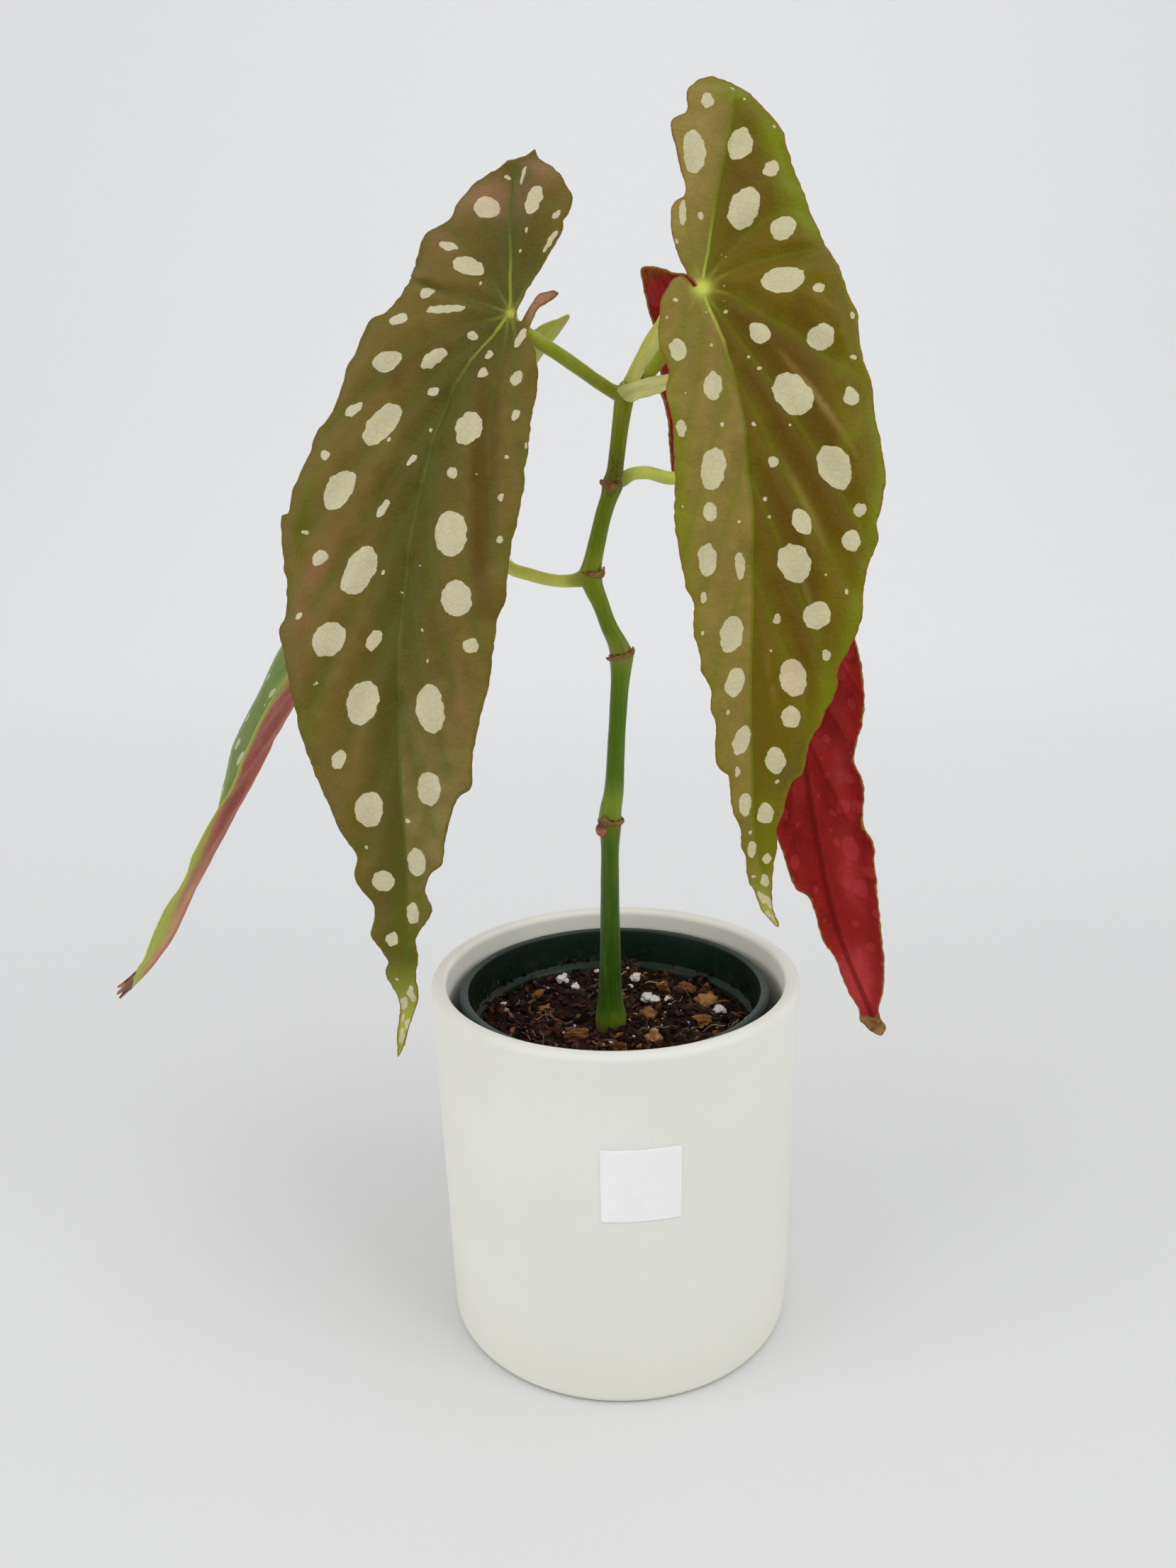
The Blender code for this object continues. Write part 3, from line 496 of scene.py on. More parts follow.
def keep_values(piece, label, values):
    """Stores a number for each point of a piece, for its material to read."""
    piece.data.attributes.new(label, "FLOAT", "POINT").data.foreach_set("value", values)


def scatter(name, finish, count, sizes, rough, seed, lean=0.6, sink=0.15, skew=1.0):
    """Strews lumps over the mix; sizes are (least, most) for length, width and height, and a
    larger skew makes more of them small."""
    chance = random.Random(seed)
    mesh, tones = bmesh.new(), []
    for _ in range(count):
        x, y = on_the_mix(chance)
        big = chance.random() ** skew
        size = [low + (high - low) * big * chance.uniform(0.7, 1) for low, high in sizes]
        lift = ground(x, y) + size[2] * (0.5 - sink)
        add_lump(
            mesh, tones, (x, y, lift), size, any_turn(chance, lean), chance, rough,
            tone=chance.random(),
        )
    piece = finished(name, mesh, [finish], sharp=50)
    keep_values(piece, "tone", tones)


scatter(
    "peat_crumbs", crumb_finish, 900,
    sizes=((1.2, 5), (1, 3.6), (0.9, 2.8)), rough=0.5, seed=11, skew=1.6,
)
scatter(
    "bark_shreds", shred_finish, 420,
    sizes=((2, 9), (0.5, 2.0), (0.4, 1.3)), rough=0.35, seed=12, lean=0.75, sink=0.0, skew=1.5,
)
scatter(
    "wood_crumbs", chip_finish, 120,
    sizes=((0.9, 4.2), (0.8, 2.8), (0.6, 2.2)), rough=0.4, seed=13, skew=1.8,
)
scatter(
    "perlite_grains", perlite_finish, 75,
    sizes=((0.6, 3.4), (0.6, 2.8), (0.5, 2.4)), rough=0.4, seed=14, skew=2.0,
)

# The larger chips and lumps keep the places of their nodes
chance = random.Random(21)
CHIP_TONES = (0.6, 0.55, 0.35, 0.7, 0.6, 0.5, 0.3, 0.65, 0.4, 0.2)
for number, tone in enumerate(CHIP_TONES, 1):
    low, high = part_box(f"bark_chip_{number}")
    low, high = low / MM, high / MM
    size = (high - low) * CHIP_SHARE
    middle = (low + high) / 2 - Vector((0, 0, CHIP_SINK))
    mesh = bmesh.new()
    bmesh.ops.create_cube(mesh, size=1.0)
    bmesh.ops.subdivide_edges(mesh, edges=mesh.edges, cuts=9, use_grid_fill=True)
    for _ in range(3):
        bmesh.ops.smooth_vert(
            mesh, verts=mesh.verts, factor=0.5, use_axis_x=True, use_axis_y=True, use_axis_z=True
        )
    seed = Vector((number * 7.3, 2.0, 5.0))
    for vertex in mesh.verts:
        # broken corners, and thin layers that show on the sides
        co = vertex.co
        layers = 0.06 * math.sin(38 * (co.z + 0.15 * noise.noise(co * 3 + seed)))
        bite = 0.42 * noise.fractal(co * 1.9 + seed, 0.7, 2.1, 5)
        vertex.co = co * (1 + bite + (layers if abs(co.z) < 0.42 else 0))
    bmesh.ops.scale(mesh, vec=size, verts=mesh.verts)
    tilt = any_turn(chance, 0.35)
    bmesh.ops.rotate(mesh, verts=mesh.verts, matrix=tilt.to_3x3(), cent=(0, 0, 0))
    bmesh.ops.translate(mesh, vec=middle, verts=mesh.verts)
    tones = [min(1, max(0, tone + 0.35 * noise.noise(v.co * 0.5))) for v in mesh.verts]
    chip = finished(
        f"bark_piece_{number}", mesh, [chip_finish], [f"bark_chip_{number}"], sharp=60
    )
    keep_values(chip, "tone", tones)

for number in range(1, 7):
    low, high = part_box(f"perlite_{number}")
    low, high = low / MM, high / MM
    mesh, tones = bmesh.new(), []
    middle = (low + high) / 2 - Vector((0, 0, LUMP_SINK))
    for _ in range(5):
        spread = [chance.uniform(-0.25, 0.25) * side for side in (high - low)]
        add_lump(
            mesh, tones, middle + Vector(spread), (high - low) * chance.uniform(0.5, 0.7),
            any_turn(chance), chance, rough=0.3, tone=chance.uniform(0.6, 1.0), detail=3,
        )
    lump = finished(f"perlite_lump_{number}", mesh, [perlite_finish], [f"perlite_{number}"])
    keep_values(lump, "tone", tones)


def along(points):
    """Distance from the first point to each point along a line."""
    steps = np.linalg.norm(np.diff(points[:, :3], axis=0), axis=1)
    return np.concatenate([[0.0], np.cumsum(steps)])


def curve_through(knots, values, t):
    """A smooth curve through the values, carried straight on past its ends."""
    slopes = np.gradient(values, knots, axis=0)
    t = np.asarray(t, float)
    inside = np.clip(t, knots[0], knots[-1])
    i = np.clip(np.searchsorted(knots, inside, side="right") - 1, 0, len(knots) - 2)
    span = (knots[i + 1] - knots[i])[:, None]
    u = ((inside - knots[i]) / (knots[i + 1] - knots[i]))[:, None]
    point = (
        (2 * u**3 - 3 * u**2 + 1) * values[i] + (u**3 - 2 * u**2 + u) * span * slopes[i]
        + (3 * u**2 - 2 * u**3) * values[i + 1] + (u**3 - u**2) * span * slopes[i + 1]
    )
    return point + (t - inside)[:, None] * np.where((t < inside)[:, None], slopes[0], slopes[-1])


def stem(mesh, stations, sides, spacing, uneven=0.0):
    """Extrudes a ring through (x, y, z, radius) stations and closes its ends. Each point keeps,
    as the attribute reach, how far along the stem it lies."""
    layers = mesh.verts.layers
    number = layers.int.get("side") or layers.int.new("side")
    reached = layers.float.get("reach") or layers.float.new("reach")
    values = np.array(stations, float)
    knots = along(values)
    reach = np.linspace(0, knots[-1], max(2, round(knots[-1] / spacing)) + 1)
    path = curve_through(knots, values, reach)
    ways = curve_through(knots, values, reach + 0.2) - curve_through(knots, values, reach - 0.2)
    ring = bmesh.ops.create_circle(mesh, segments=sides, radius=1.0)["verts"]
    edges = list({edge for vertex in ring for edge in vertex.link_edges})
    first_edges, unit = list(edges), [vertex.co.copy() for vertex in ring]
    for k, vertex in enumerate(ring):
        vertex[number] = k
    side = Vector((1, 0.2, 0.1))
    for step, (point, way) in enumerate(zip(path, ways)):
        if step:
            grown = bmesh.ops.extrude_edge_only(mesh, edges=edges)["geom"]
            ring = [item for item in grown if isinstance(item, bmesh.types.BMVert)]
            new = set(ring)
            edges = [
                item for item in grown
                if isinstance(item, bmesh.types.BMEdge) and new.issuperset(item.verts)
            ]
        way = Vector(way[:3]).normalized()
        side = (side - way * side.dot(way)).normalized()
        turn = Matrix((side, way.cross(side), way)).transposed()
        for vertex in ring:
            flat = unit[vertex[number]]
            radius = float(point[3])
            if uneven:
                at = Vector((flat.x * 1.5, flat.y * 1.5, reach[step] * 0.12))
                radius *= 1 + uneven * noise.noise(at)
            vertex.co = Vector(point[:3]) + turn @ (flat * radius)
            vertex[reached] = reach[step]
    bmesh.ops.edgeloop_fill(mesh, edges=first_edges)
    bmesh.ops.edgeloop_fill(mesh, edges=edges)


# Fine pale roots and stalks lying on the mix
chance = random.Random(31)
mesh, tones = bmesh.new(), []
for _ in range(ROOTS):
    x, y = on_the_mix(chance)
    heading, length = chance.uniform(0, math.tau), chance.uniform(4, 15)
    radius, line = chance.uniform(0.12, 0.32), []
    for k in range(6):
        heading += chance.uniform(-0.5, 0.5)
        x, y = x + math.cos(heading) * length / 6, y + math.sin(heading) * length / 6
        from_middle, from_cane = math.hypot(x - GROWER_X, y - GROWER_Y), math.hypot(x - CANE_X, y)
        if from_middle > MIX_RADIUS - 1 or from_cane < CANE_CLEAR + 0.2:
            break
        line.append((x, y, ground(x, y) + 0.9 + chance.uniform(-0.3, 0.9), radius * (1 - 0.1 * k)))
    if len(line) < 3:
        continue
    before = len(mesh.verts)
    stem(mesh, line, sides=6, spacing=1.2)
    tones += [chance.random()] * (len(mesh.verts) - before)
bmesh.ops.recalc_face_normals(mesh, faces=mesh.faces)
roots = finished("loose_roots", mesh, [root_finish])
keep_values(roots, "tone", tones)

# Crumbs and dust that cling to the nursery pot's band, and crumbs heaped against its shoulder
chance = random.Random(41)
mesh, tones = bmesh.new(), []
for _ in range(WALL_CRUMBS):
    turn = chance.uniform(0, math.tau)
    up = chance.random() ** 2.2
    radius = band - GROWER_WALL - 1.1 + up
    z = GROWER_SHOULDER_Z + 1.6 + up * 9.5
    size = chance.uniform(0.25, 1.3) * (1.15 - up * 0.6)
    spot = (GROWER_X + radius * math.cos(turn), GROWER_Y + radius * math.sin(turn), z)
    add_lump(
        mesh, tones, spot, (size * 0.6, size, size * chance.uniform(0.7, 1.6)),
        Matrix.Rotation(turn, 4, "Z"), chance, rough=0.4, tone=chance.random(),
    )
for _ in range(RIM_CRUMBS):
    turn, out_by = chance.uniform(0, math.tau), chance.random()
    radius = MIX_RADIUS - 0.4 + 2.6 * out_by
    inner = MIX_RADIUS - 1.1
    z = ground(GROWER_X + inner * math.cos(turn), GROWER_Y + inner * math.sin(turn)) + 1.3 * out_by
    size = chance.uniform(0.7, 2.6) * (1.1 - 0.6 * out_by)
    spot = (GROWER_X + radius * math.cos(turn), GROWER_Y + radius * math.sin(turn), z)
    add_lump(
        mesh, tones, spot, (size, size, size * 0.7), any_turn(chance), chance, rough=0.5,
        tone=chance.random(),
    )
clinging = finished("clinging_crumbs", mesh, [crumb_finish], sharp=50)
keep_values(clinging, "tone", tones)

# ---- Label -------------------------------------------------------------------------------------
# A square self-adhesive paper label, left blank, pressed on the front of the cachepot. A thin
# sheet bent to the pot's cone, with slightly rounded corners and one corner not quite down.

LABEL_SIDE = 24.0
LABEL_Z = 77.0
LABEL_TURN = math.radians(6.5)
LABEL_CORNER = 0.7
LABEL_THICKNESS = 0.12
LABEL_PROUD = 0.2
LABEL_LOOSE = 2.1


def thicken(piece, thickness, offset=0.0):
    """Gives a sheet its thickness: half to each side, or all of it inwards at an offset of -1."""
    body = piece.modifiers.new("thickness", "SOLIDIFY")
    body.thickness = thickness * MM
    body.offset = offset
    return body


paper, graph, shader = new_material("label_paper", 0.55)
place = graph.place()
tone = graph.group(mottle, Vector=place, **{"Cloud Scale": 120.0, "Grain Scale": 2600.0})
white = graph.mix(tone.outputs["Cloud"], (0.93, 0.93, 0.935), (0.96, 0.96, 0.96))
specks = graph.ramp(tone.outputs["Grain"], 0.5, 0.8, 0.0, 0.12)
graph.feed(shader["Base Color"], graph.mix(specks, white, (0.80, 0.80, 0.81)))
graph.feed(shader["Roughness"], graph.ramp(tone.outputs["Grain"], 0.2, 0.8, 0.46, 0.62))
graph.feed(shader["Normal"], graph.bump(tone.outputs["Grain"], 0.00003, 0.5))

label = bmesh.new()
half = LABEL_SIDE / 2
bmesh.ops.create_grid(label, x_segments=40, y_segments=40, size=half)
for vertex in label.verts:
    x, y = vertex.co.x, vertex.co.y
    inset = half - LABEL_CORNER
    over = math.hypot(max(abs(x) - inset, 0), max(abs(y) - inset, 0))
    if over > LABEL_CORNER:
        x = math.copysign(inset + (abs(x) - inset) * LABEL_CORNER / over, x)
        y = math.copysign(inset + (abs(y) - inset) * LABEL_CORNER / over, y)
    lift = LABEL_PROUD + 0.03 * noise.noise(Vector((x * 0.2, y * 0.2, 1)))
    lift += LABEL_LOOSE * max(0.0, (x + y) / LABEL_SIDE - 0.72) ** 2
    angle = LABEL_TURN + x / pot_radius(LABEL_Z)
    radius = pot_radius(LABEL_Z + y) + lift
    vertex.co = (radius * math.sin(angle), -radius * math.cos(angle), LABEL_Z + y)
label_sheet = finished("label_sheet", label, [paper], ["blank_label"])
thicken(label_sheet, LABEL_THICKNESS, offset=-1.0)

# ---- Cane --------------------------------------------------------------------------------------
# One living stem, swollen where it leaves the mix and at each node, bending to and fro between
# nodes. Satin green, yellower above each node, with a brown scar ring where a stipule fell.


def paint(red, green, blue):
    """A colour in the usual 0 to 255 steps, as the renderer counts light."""
    return tuple(
        c / 12.92 if c <= 0.04045 else ((c + 0.055) / 1.055) ** 2.4
        for c in (red / 255, green / 255, blue / 255)
    )


CANE = (
    (-1.6, 0.4, 90, 3.9), (-1.6, 0.2, 96, 4.3), (-1.6, 0, 98.5, 4.7), (-1.6, 0, 100.8, 5.15),
    (-1.6, 0, 103.4, 5.0), (-1.6, 0, 106.5, 4.35), (-1.6, 0, 110, 3.95), (-1.5, 0, 118, 3.6),
    (-1.3, 0, 135, 3.2), (-1.1, 0, 152, 2.95), (-0.9, 0, 162.5, 3.0), (-0.8, 0, 166.3, 3.35),
    (-0.8, 0, 168.9, 3.75), (-0.75, 0, 169.9, 3.95), (-0.7, 0, 170.7, 3.7), (-0.6, 0, 172.5, 3.55),
    (0.4, 0, 178, 3.2), (1.3, 0, 190, 2.8), (2.3, 0, 205, 2.75), (3.1, 0, 215, 2.95),
    (3.4, 0, 219.4, 3.4), (3.5, 0, 221.6, 3.75), (3.45, 0, 222.6, 3.95), (3.3, 0, 223.5, 3.5),
    (2.6, 0, 225.5, 3.1), (0.0, 0, 231, 2.55), (-2.7, 0, 238.5, 2.6), (-4.6, 0, 243.2, 3.05),
    (-5.3, 0, 245.8, 3.4), (-5.35, 0, 247.2, 3.5), (-5.0, 0, 249, 3.1), (-3.1, 0, 257, 2.6),
    (-1.0, 0, 265, 2.5), (0.8, 0, 270.2, 2.7), (1.4, 0, 272.2, 3.1), (1.7, 0, 273.4, 3.2),
    (2.1, 0, 275.2, 2.75), (3.1, 0, 282, 2.4), (4.4, 0, 291, 2.5), (5.4, -0.1, 296.8, 2.75),
    (6.2, -0.2, 299.4, 2.75), (7.6, -0.5, 301.0, 2.2),
)
CANE_COLOURS = (
    (96, paint(80, 62, 24)), (99, paint(104, 96, 30)), (102.5, paint(88, 112, 14)),
    (106, paint(48, 92, 1)), (112, paint(32, 76, 0)), (150, paint(36, 84, 0)),
    (163, paint(58, 100, 2)), (168.6, paint(96, 116, 20)), (171.5, paint(116, 140, 40)),
    (177, paint(118, 142, 40)), (184, paint(58, 106, 2)), (208, paint(66, 110, 4)),
    (217, paint(92, 128, 18)), (223.6, paint(138, 146, 62)), (230, paint(98, 132, 22)),
    (242, paint(116, 142, 20)), (249, paint(134, 156, 34)), (256, paint(104, 134, 8)),
    (269, paint(104, 128, 14)), (275, paint(98, 108, 24)), (284, paint(112, 130, 6)),
    (300, paint(138, 156, 26)),
)
SCARS = (170.0, 222.7, 247.3, 273.4)
WAX = (1.0, 0.9, 0.38, 1.0)

cane_skin, graph, shader = new_material(
    "cane_skin", 0.36, Specular_IOR_Level=0.4, Specular_Tint=WAX, Sheen_Weight=0.12
)
place = graph.place()
height = graph.node("SeparateXYZ", {0: place}).outputs[2]
low_z, high_z = CANE_COLOURS[0][0], CANE_COLOURS[-1][0]
share = graph.ramp(height, low_z * MM, high_z * MM, kind="LINEAR")
steps = [((z - low_z) / (high_z - low_z), colour) for z, colour in CANE_COLOURS]
colour = graph.stops(share, *steps)
streaks = graph.noise(graph.stretched(place, (1.0, 1.0, 0.07)), 900.0, 3.0)
colour = graph.mix(graph.ramp(streaks, 0.4, 0.75, 0.0, 0.14), colour, paint(140, 156, 50))
colour = graph.mix(graph.ramp(streaks, 0.55, 0.3, 0.0, 0.12), colour, paint(34, 60, 2))
tone = graph.group(mottle, Vector=place, **{"Cloud Scale": 260.0, "Grain Scale": 2600.0})
colour = graph.mix(graph.math("MULTIPLY", tone.outputs["Cloud"], 0.12), colour, paint(120, 132, 30))
lenticels = graph.ramp(graph.cells(graph.stretched(place, (1, 1, 0.45)), 520.0), 0.16, 0.08)
few = graph.ramp(graph.noise(place, 160.0, 1.0), 0.52, 0.6)
lenticels = graph.math("MULTIPLY", lenticels, few)
colour = graph.mix(graph.math("MULTIPLY", lenticels, 0.4), colour, paint(150, 156, 80))
ragged = graph.math("MULTIPLY", graph.math("SUBTRACT", graph.noise(place, 420.0, 3.0), 0.5), 0.0028)
scar_marks = 0.0
for z in SCARS:
    off = graph.math("ABSOLUTE", graph.math("SUBTRACT", graph.math("ADD", height, ragged), z * MM))
    scar_marks = graph.math("MAXIMUM", scar_marks, graph.ramp(off, 0.0009, 0.0003))
colour = graph.mix(graph.math("MULTIPLY", scar_marks, 0.85), colour, paint(92, 52, 26))
top_scar = SCARS[-1] * MM
above_top_scar = graph.math(
    "MULTIPLY", graph.ramp(height, top_scar + 0.0001, top_scar + 0.0021),
    graph.ramp(height, top_scar + 0.0111, top_scar + 0.0061),
)
blotch = graph.math(
    "MULTIPLY", above_top_scar, graph.ramp(graph.noise(place, 1500.0, 3.0, 0.7), 0.46, 0.62)
)
colour = graph.mix(graph.math("MULTIPLY", blotch, 0.6), colour, paint(66, 44, 10))
graph.feed(shader["Base Color"], colour)
graph.feed(shader["Roughness"], graph.ramp(tone.outputs["Grain"], 0.25, 0.8, 0.30, 0.46))
relief = graph.math("ADD", streaks, graph.math("MULTIPLY", scar_marks, -0.6))
graph.feed(shader["Normal"], graph.bump(relief, 0.00006, 0.6))

cane = bmesh.new()
stem(cane, CANE, sides=40, spacing=0.8, uneven=0.035)
bmesh.ops.recalc_face_normals(cane, faces=cane.faces)
finished("living_cane", cane, [cane_skin], ["cane"], sharp=60)

# ---- Leaves ------------------------------------------------------------------------------------
# Four angel-wing blades, each hung from its petiole at one point and pleated along its veins.
# A flat outline is cut finely, bent onto the leaf's own surface, given relief and a thickness.
# In the flat drawing x runs across the blade and s along it, from the joint towards the tip.

LEAF_THICKNESS = 0.45
LEAF_CUT = 1.2
MIDRIB_SOFTNESS = 4.0
LEFT_SPINE = (
    (-18.3, -9, 359.2), (-25, -22, 318), (-37.5, -30, 297.7), (-47, -41, 270),
    (-52.8, -50, 241.8), (-55.1, -58, 208), (-54.6, -62, 177.7), (-56.1, -63.5, 150.8),
    (-60.8, -62, 120),
)
RIGHT_SPINE = (
    (27.4, -13, 376.5), (25.5, -30, 322), (32.6, -38, 299.7), (36, -47.5, 272),
    (36.8, -54.5, 246), (37, -59.5, 221.5), (38.3, -62.5, 193.5), (39.6, -63, 176),
    (43.6, -61, 156.6),
)
BACK_RIGHT_SPINE = (
    (19, 11, 340.6), (40, 20, 302), (47.4, 25.5, 278), (54, 31, 248.5), (59.5, 34, 219.6),
    (64.3, 35, 190.6), (69.6, 33, 159.5), (77.6, 27.5, 123), (92.2, 18, 85.5),
)
BACK_LEFT_SPINE = (
    (-13, 22, 320), (-43, 18, 279), (-60, 16, 256.5), (-81, 12, 233), (-101, 8, 205.8),
    (-122, 4, 170.7), (-135.3, -1, 148), (-147, -6, 128), (-158.5, -12, 116.5),
)
# The surface that each blade is bent onto, in the terms of bend
SURFACES = {
    "front_left": {
        "spine": LEFT_SPINE, "face": ((-8, 12), (-4, 8)), "folds": (11, 11), "curl": 0.004,
    },
    "front_right": {
        "spine": RIGHT_SPINE, "face": ((4, 12), (-4, 8)), "folds": (11, 11), "curl": 0.004,
    },
    "back_right": {
        "spine": BACK_RIGHT_SPINE, "face": ((188, 10), (176, 10)), "folds": (9, 9), "curl": 0.004,
        "roll": (204, 226, 0.07),
    },
    "back_left": {
        "spine": BACK_LEFT_SPINE, "face": ((-82, 38), (-89, 36)), "folds": (32, 17), "curl": 0.003,
        "lobe_turn": 22,
    },
}
PAST_THE_TIP = (400, 410)


def closed_curve(points, spacing):
    """Points along a smooth closed curve through the given ones, sharp where they turn sharply."""
    ring, line = np.array(points, float), []
    for i in range(len(ring)):
        before, start, end, after = (ring[(i + k) % len(ring)] for k in (-1, 0, 1, 2))
        a, b, c = (
            math.sqrt(max(np.linalg.norm(q - p), 0.05))
            for p, q in ((before, start), (start, end), (end, after))
        )
        leave = ((start - before) / a - (end - before) / (a + b) + (end - start) / b) * b
        arrive = ((end - start) / b - (after - start) / (b + c) + (after - end) / c) * b
        steps = max(1, round(np.linalg.norm(end - start) / spacing))
        for u in np.arange(steps) / steps:
            line.append(
                (2 * u**3 - 3 * u**2 + 1) * start + (u**3 - 2 * u**2 + u) * leave
                + (3 * u**2 - 2 * u**3) * end + (u**3 - u**2) * arrive
            )
    return np.array(line)


def line_distance(x, s, line):
    """Distance from each flat point to a line of points."""
    best = np.full(len(x), 1e3)
    for (x0, s0), (x1, s1) in zip(line, line[1:]):
        dx, ds = x1 - x0, s1 - s0
        share = np.clip(((x - x0) * dx + (s - s0) * ds) / (dx * dx + ds * ds + 1e-9), 0, 1)
        best = np.minimum(best, np.hypot(x - x0 - share * dx, s - s0 - share * ds))
    return best


def tilted(x, s, spot):
    """Coordinates across and along a spot, whose top leans to the right by its tilt."""
    turn = math.radians(spot[4])
    dx, ds = x - spot[0], s - spot[1]
    return dx * math.cos(turn) + ds * math.sin(turn), dx * math.sin(turn) - ds * math.cos(turn)


def spot_distance(x, s, spots):
    """Distance to the edge of the nearest spot, negative inside it, and whether it is pink."""
    best, pink = np.full(len(x), 9.0), np.zeros(len(x))
    for spot in spots:
        u, v = tilted(x, s, spot)
        a, b = spot[2], spot[3]
        near = np.hypot(u / a, v / b)
        distance = near * (near - 1) / np.maximum(np.hypot(u / a**2, v / b**2), 1e-6)
        distance = np.where(near < 0.02, -min(a, b), distance)
        pink = np.where(distance < best, float(len(spot) > 5), pink)
        best = np.minimum(best, distance)
    return best, pink


def soft_patches(x, s, patches):
    """Sum of soft oval patches (x, s, half-width, half-height, tilt, strength), up to 1."""
    total = np.zeros(len(x))
    for patch in patches:
        u, v = tilted(x, s, patch)
        total += patch[5] * np.exp(-((u / patch[2]) ** 2 + (v / patch[3]) ** 2))
    return np.clip(total, 0, 1)


def waves(x, s, size, seed):
    """Smooth noise between -1 and 1 whose hills are about that size."""
    return np.array([noise.noise(Vector((a / size, b / size, seed))) for a, b in zip(x, s)]) * 1.6


def smooth(value, low, high):
    """0 below low, 1 above high and smooth between."""
    u = np.clip((value - low) / (high - low), 0, 1)
    return u * u * (3 - 2 * u)


def direction(azimuth, elevation):
    """A unit vector: azimuth 0 is -Y and grows towards +X, both in degrees."""
    turn, rise = math.radians(azimuth), math.radians(elevation)
    return np.array([
        math.sin(turn) * math.cos(rise), -math.cos(turn) * math.cos(rise), math.sin(rise)
    ])


def bend(x, s, lift, spine, face, folds, curl, roll=(0.0, 1.0, 0.0), lobe_turn=0.0):
    """Places flat points on a blade. face is the upper side's direction at both ends, folds and
    curl shape the cross-section, roll (start, end, curl) rolls the tip, and lobe_turn turns the
    lobe towards one side by so many degrees."""
    values = np.array(spine, float)
    knots = along(values)
    knots = knots - knots[1]
    centre = curve_through(knots, values, s)
    way = curve_through(knots, values, s + 0.5) - curve_through(knots, values, s - 0.5)
    way /= np.linalg.norm(way, axis=1)[:, None]
    share = np.clip((s - knots[0]) / (knots[-1] - knots[0]), 0, 1)[:, None]
    facing = (1 - share) * direction(*face[0]) + share * direction(*face[1])
    turned_by = np.radians(lobe_turn) * smooth(-s, 4, 30)[:, None]
    facing = facing * np.cos(turned_by) + np.cross(way, facing) * np.sin(turned_by)
    side = np.cross(facing, way)
    side /= np.linalg.norm(side, axis=1)[:, None]
    normal = np.cross(way, side)
    slope = np.where(x < 0, *(math.tan(math.radians(fold)) for fold in folds))
    curled = curl + roll[2] * smooth(s, roll[0], roll[1])
    rise = slope * (np.hypot(x, MIDRIB_SOFTNESS) - MIDRIB_SOFTNESS) - curled * x * x + lift
    return centre + x[:, None] * side + rise[:, None] * normal


def cut_finely(outline, cut, wanted=None):
    """A flat face cut into a grid and triangles; edges are halved where wanted(x, s) says how
    near a fine detail is, first within 1.2 mm and then within 0.45 mm."""
    mesh = bmesh.new()
    face = mesh.faces.new([mesh.verts.new((x, s, 0)) for x, s in outline])
    face.normal_update()
    if face.normal.z > 0:  # the flat drawing is seen from the upper side, which faces -Z
        face.normal_flip()
    low, high = outline.min(axis=0), outline.max(axis=0)
    planes = [((0, s, 0), (0, 1, 0)) for s in np.arange(low[1] + cut, high[1], cut)]
    planes += [((x, 0, 0), (1, 0, 0)) for x in np.arange(low[0] + cut, high[0], cut)]
    for point, across in planes:
        everything = mesh.verts[:] + mesh.edges[:] + mesh.faces[:]
        bmesh.ops.bisect_plane(mesh, geom=everything, dist=0.02, plane_co=point, plane_no=across)
    bmesh.ops.triangulate(mesh, faces=mesh.faces)
    for longest, within in ((0.8, 1.2), (0.42, 0.45)) if wanted else ():
        mesh.verts.index_update()
        flat = np.array([v.co[:2] for v in mesh.verts])
        near = wanted(flat[:, 0], flat[:, 1]) < within
        edges = [
            e for e in mesh.edges
            if e.calc_length() > longest and near[[v.index for v in e.verts]].any()
        ]
        bmesh.ops.subdivide_edges(mesh, edges=edges, cuts=1)
        bmesh.ops.triangulate(mesh, faces=mesh.faces)
    return mesh


# Masks shared by the blades' materials, read from what each point of a blade knows about itself
leaf_marks, graph, given, out = new_group(
    "leaf_marks",
    [("Jagged", "Float"), ("Rib Width", "Float")],
    [(name, "Float") for name in (
        "Spot", "Pink", "Rib", "Left", "Low Right", "Vein", "Net", "Margin", "Rim Zone", "Outward",
        "Green", "Brown", "Blush And Sheen", "Star", "Dry", "Cloud", "Grain", "Height", "By Vein",
    )],
)
flat = graph.node("Attribute", attribute_name="flat").outputs["Vector"]
tints = graph.node("SeparateXYZ", {0: graph.node("Attribute", attribute_name="tints").outputs["Vector"]})
marks = graph.node("SeparateXYZ", {0: graph.node("Attribute", attribute_name="marks").outputs["Vector"]})
cells = graph.cells(flat, 0.5, feature="DISTANCE_TO_EDGE")
fine_cells = graph.cells(flat, 1.5, feature="DISTANCE_TO_EDGE")
fine = graph.noise(flat, 2.2, 3.0, 0.6)
edge_noise = graph.math("MULTIPLY", graph.math("SUBTRACT", fine, 0.5), given["Jagged"])
spot_edge = graph.math("ADD", graph.value("spot"), edge_noise)
graph.feed(out["Spot"], graph.ramp(spot_edge, 0.10, -0.06))
graph.feed(out["Pink"], marks.outputs[0])
rib_off = graph.math("ABSOLUTE", graph.value("rib"))
graph.feed(out["Rib"], graph.ramp(graph.math("DIVIDE", rib_off, given["Rib Width"]), 1.0, 0.35))
shaky = graph.math("MULTIPLY", graph.math("SUBTRACT", fine, 0.5), 0.5)
vein = graph.math("ADD", graph.value("vein"), shaky)
graph.feed(out["Vein"], graph.ramp(vein, 0.85, 0.4))
graph.feed(out["By Vein"], graph.ramp(vein, 3.6, 0.4))
fine_net = graph.ramp(fine_cells, 0.08, 0.02, 0.0, 0.4)
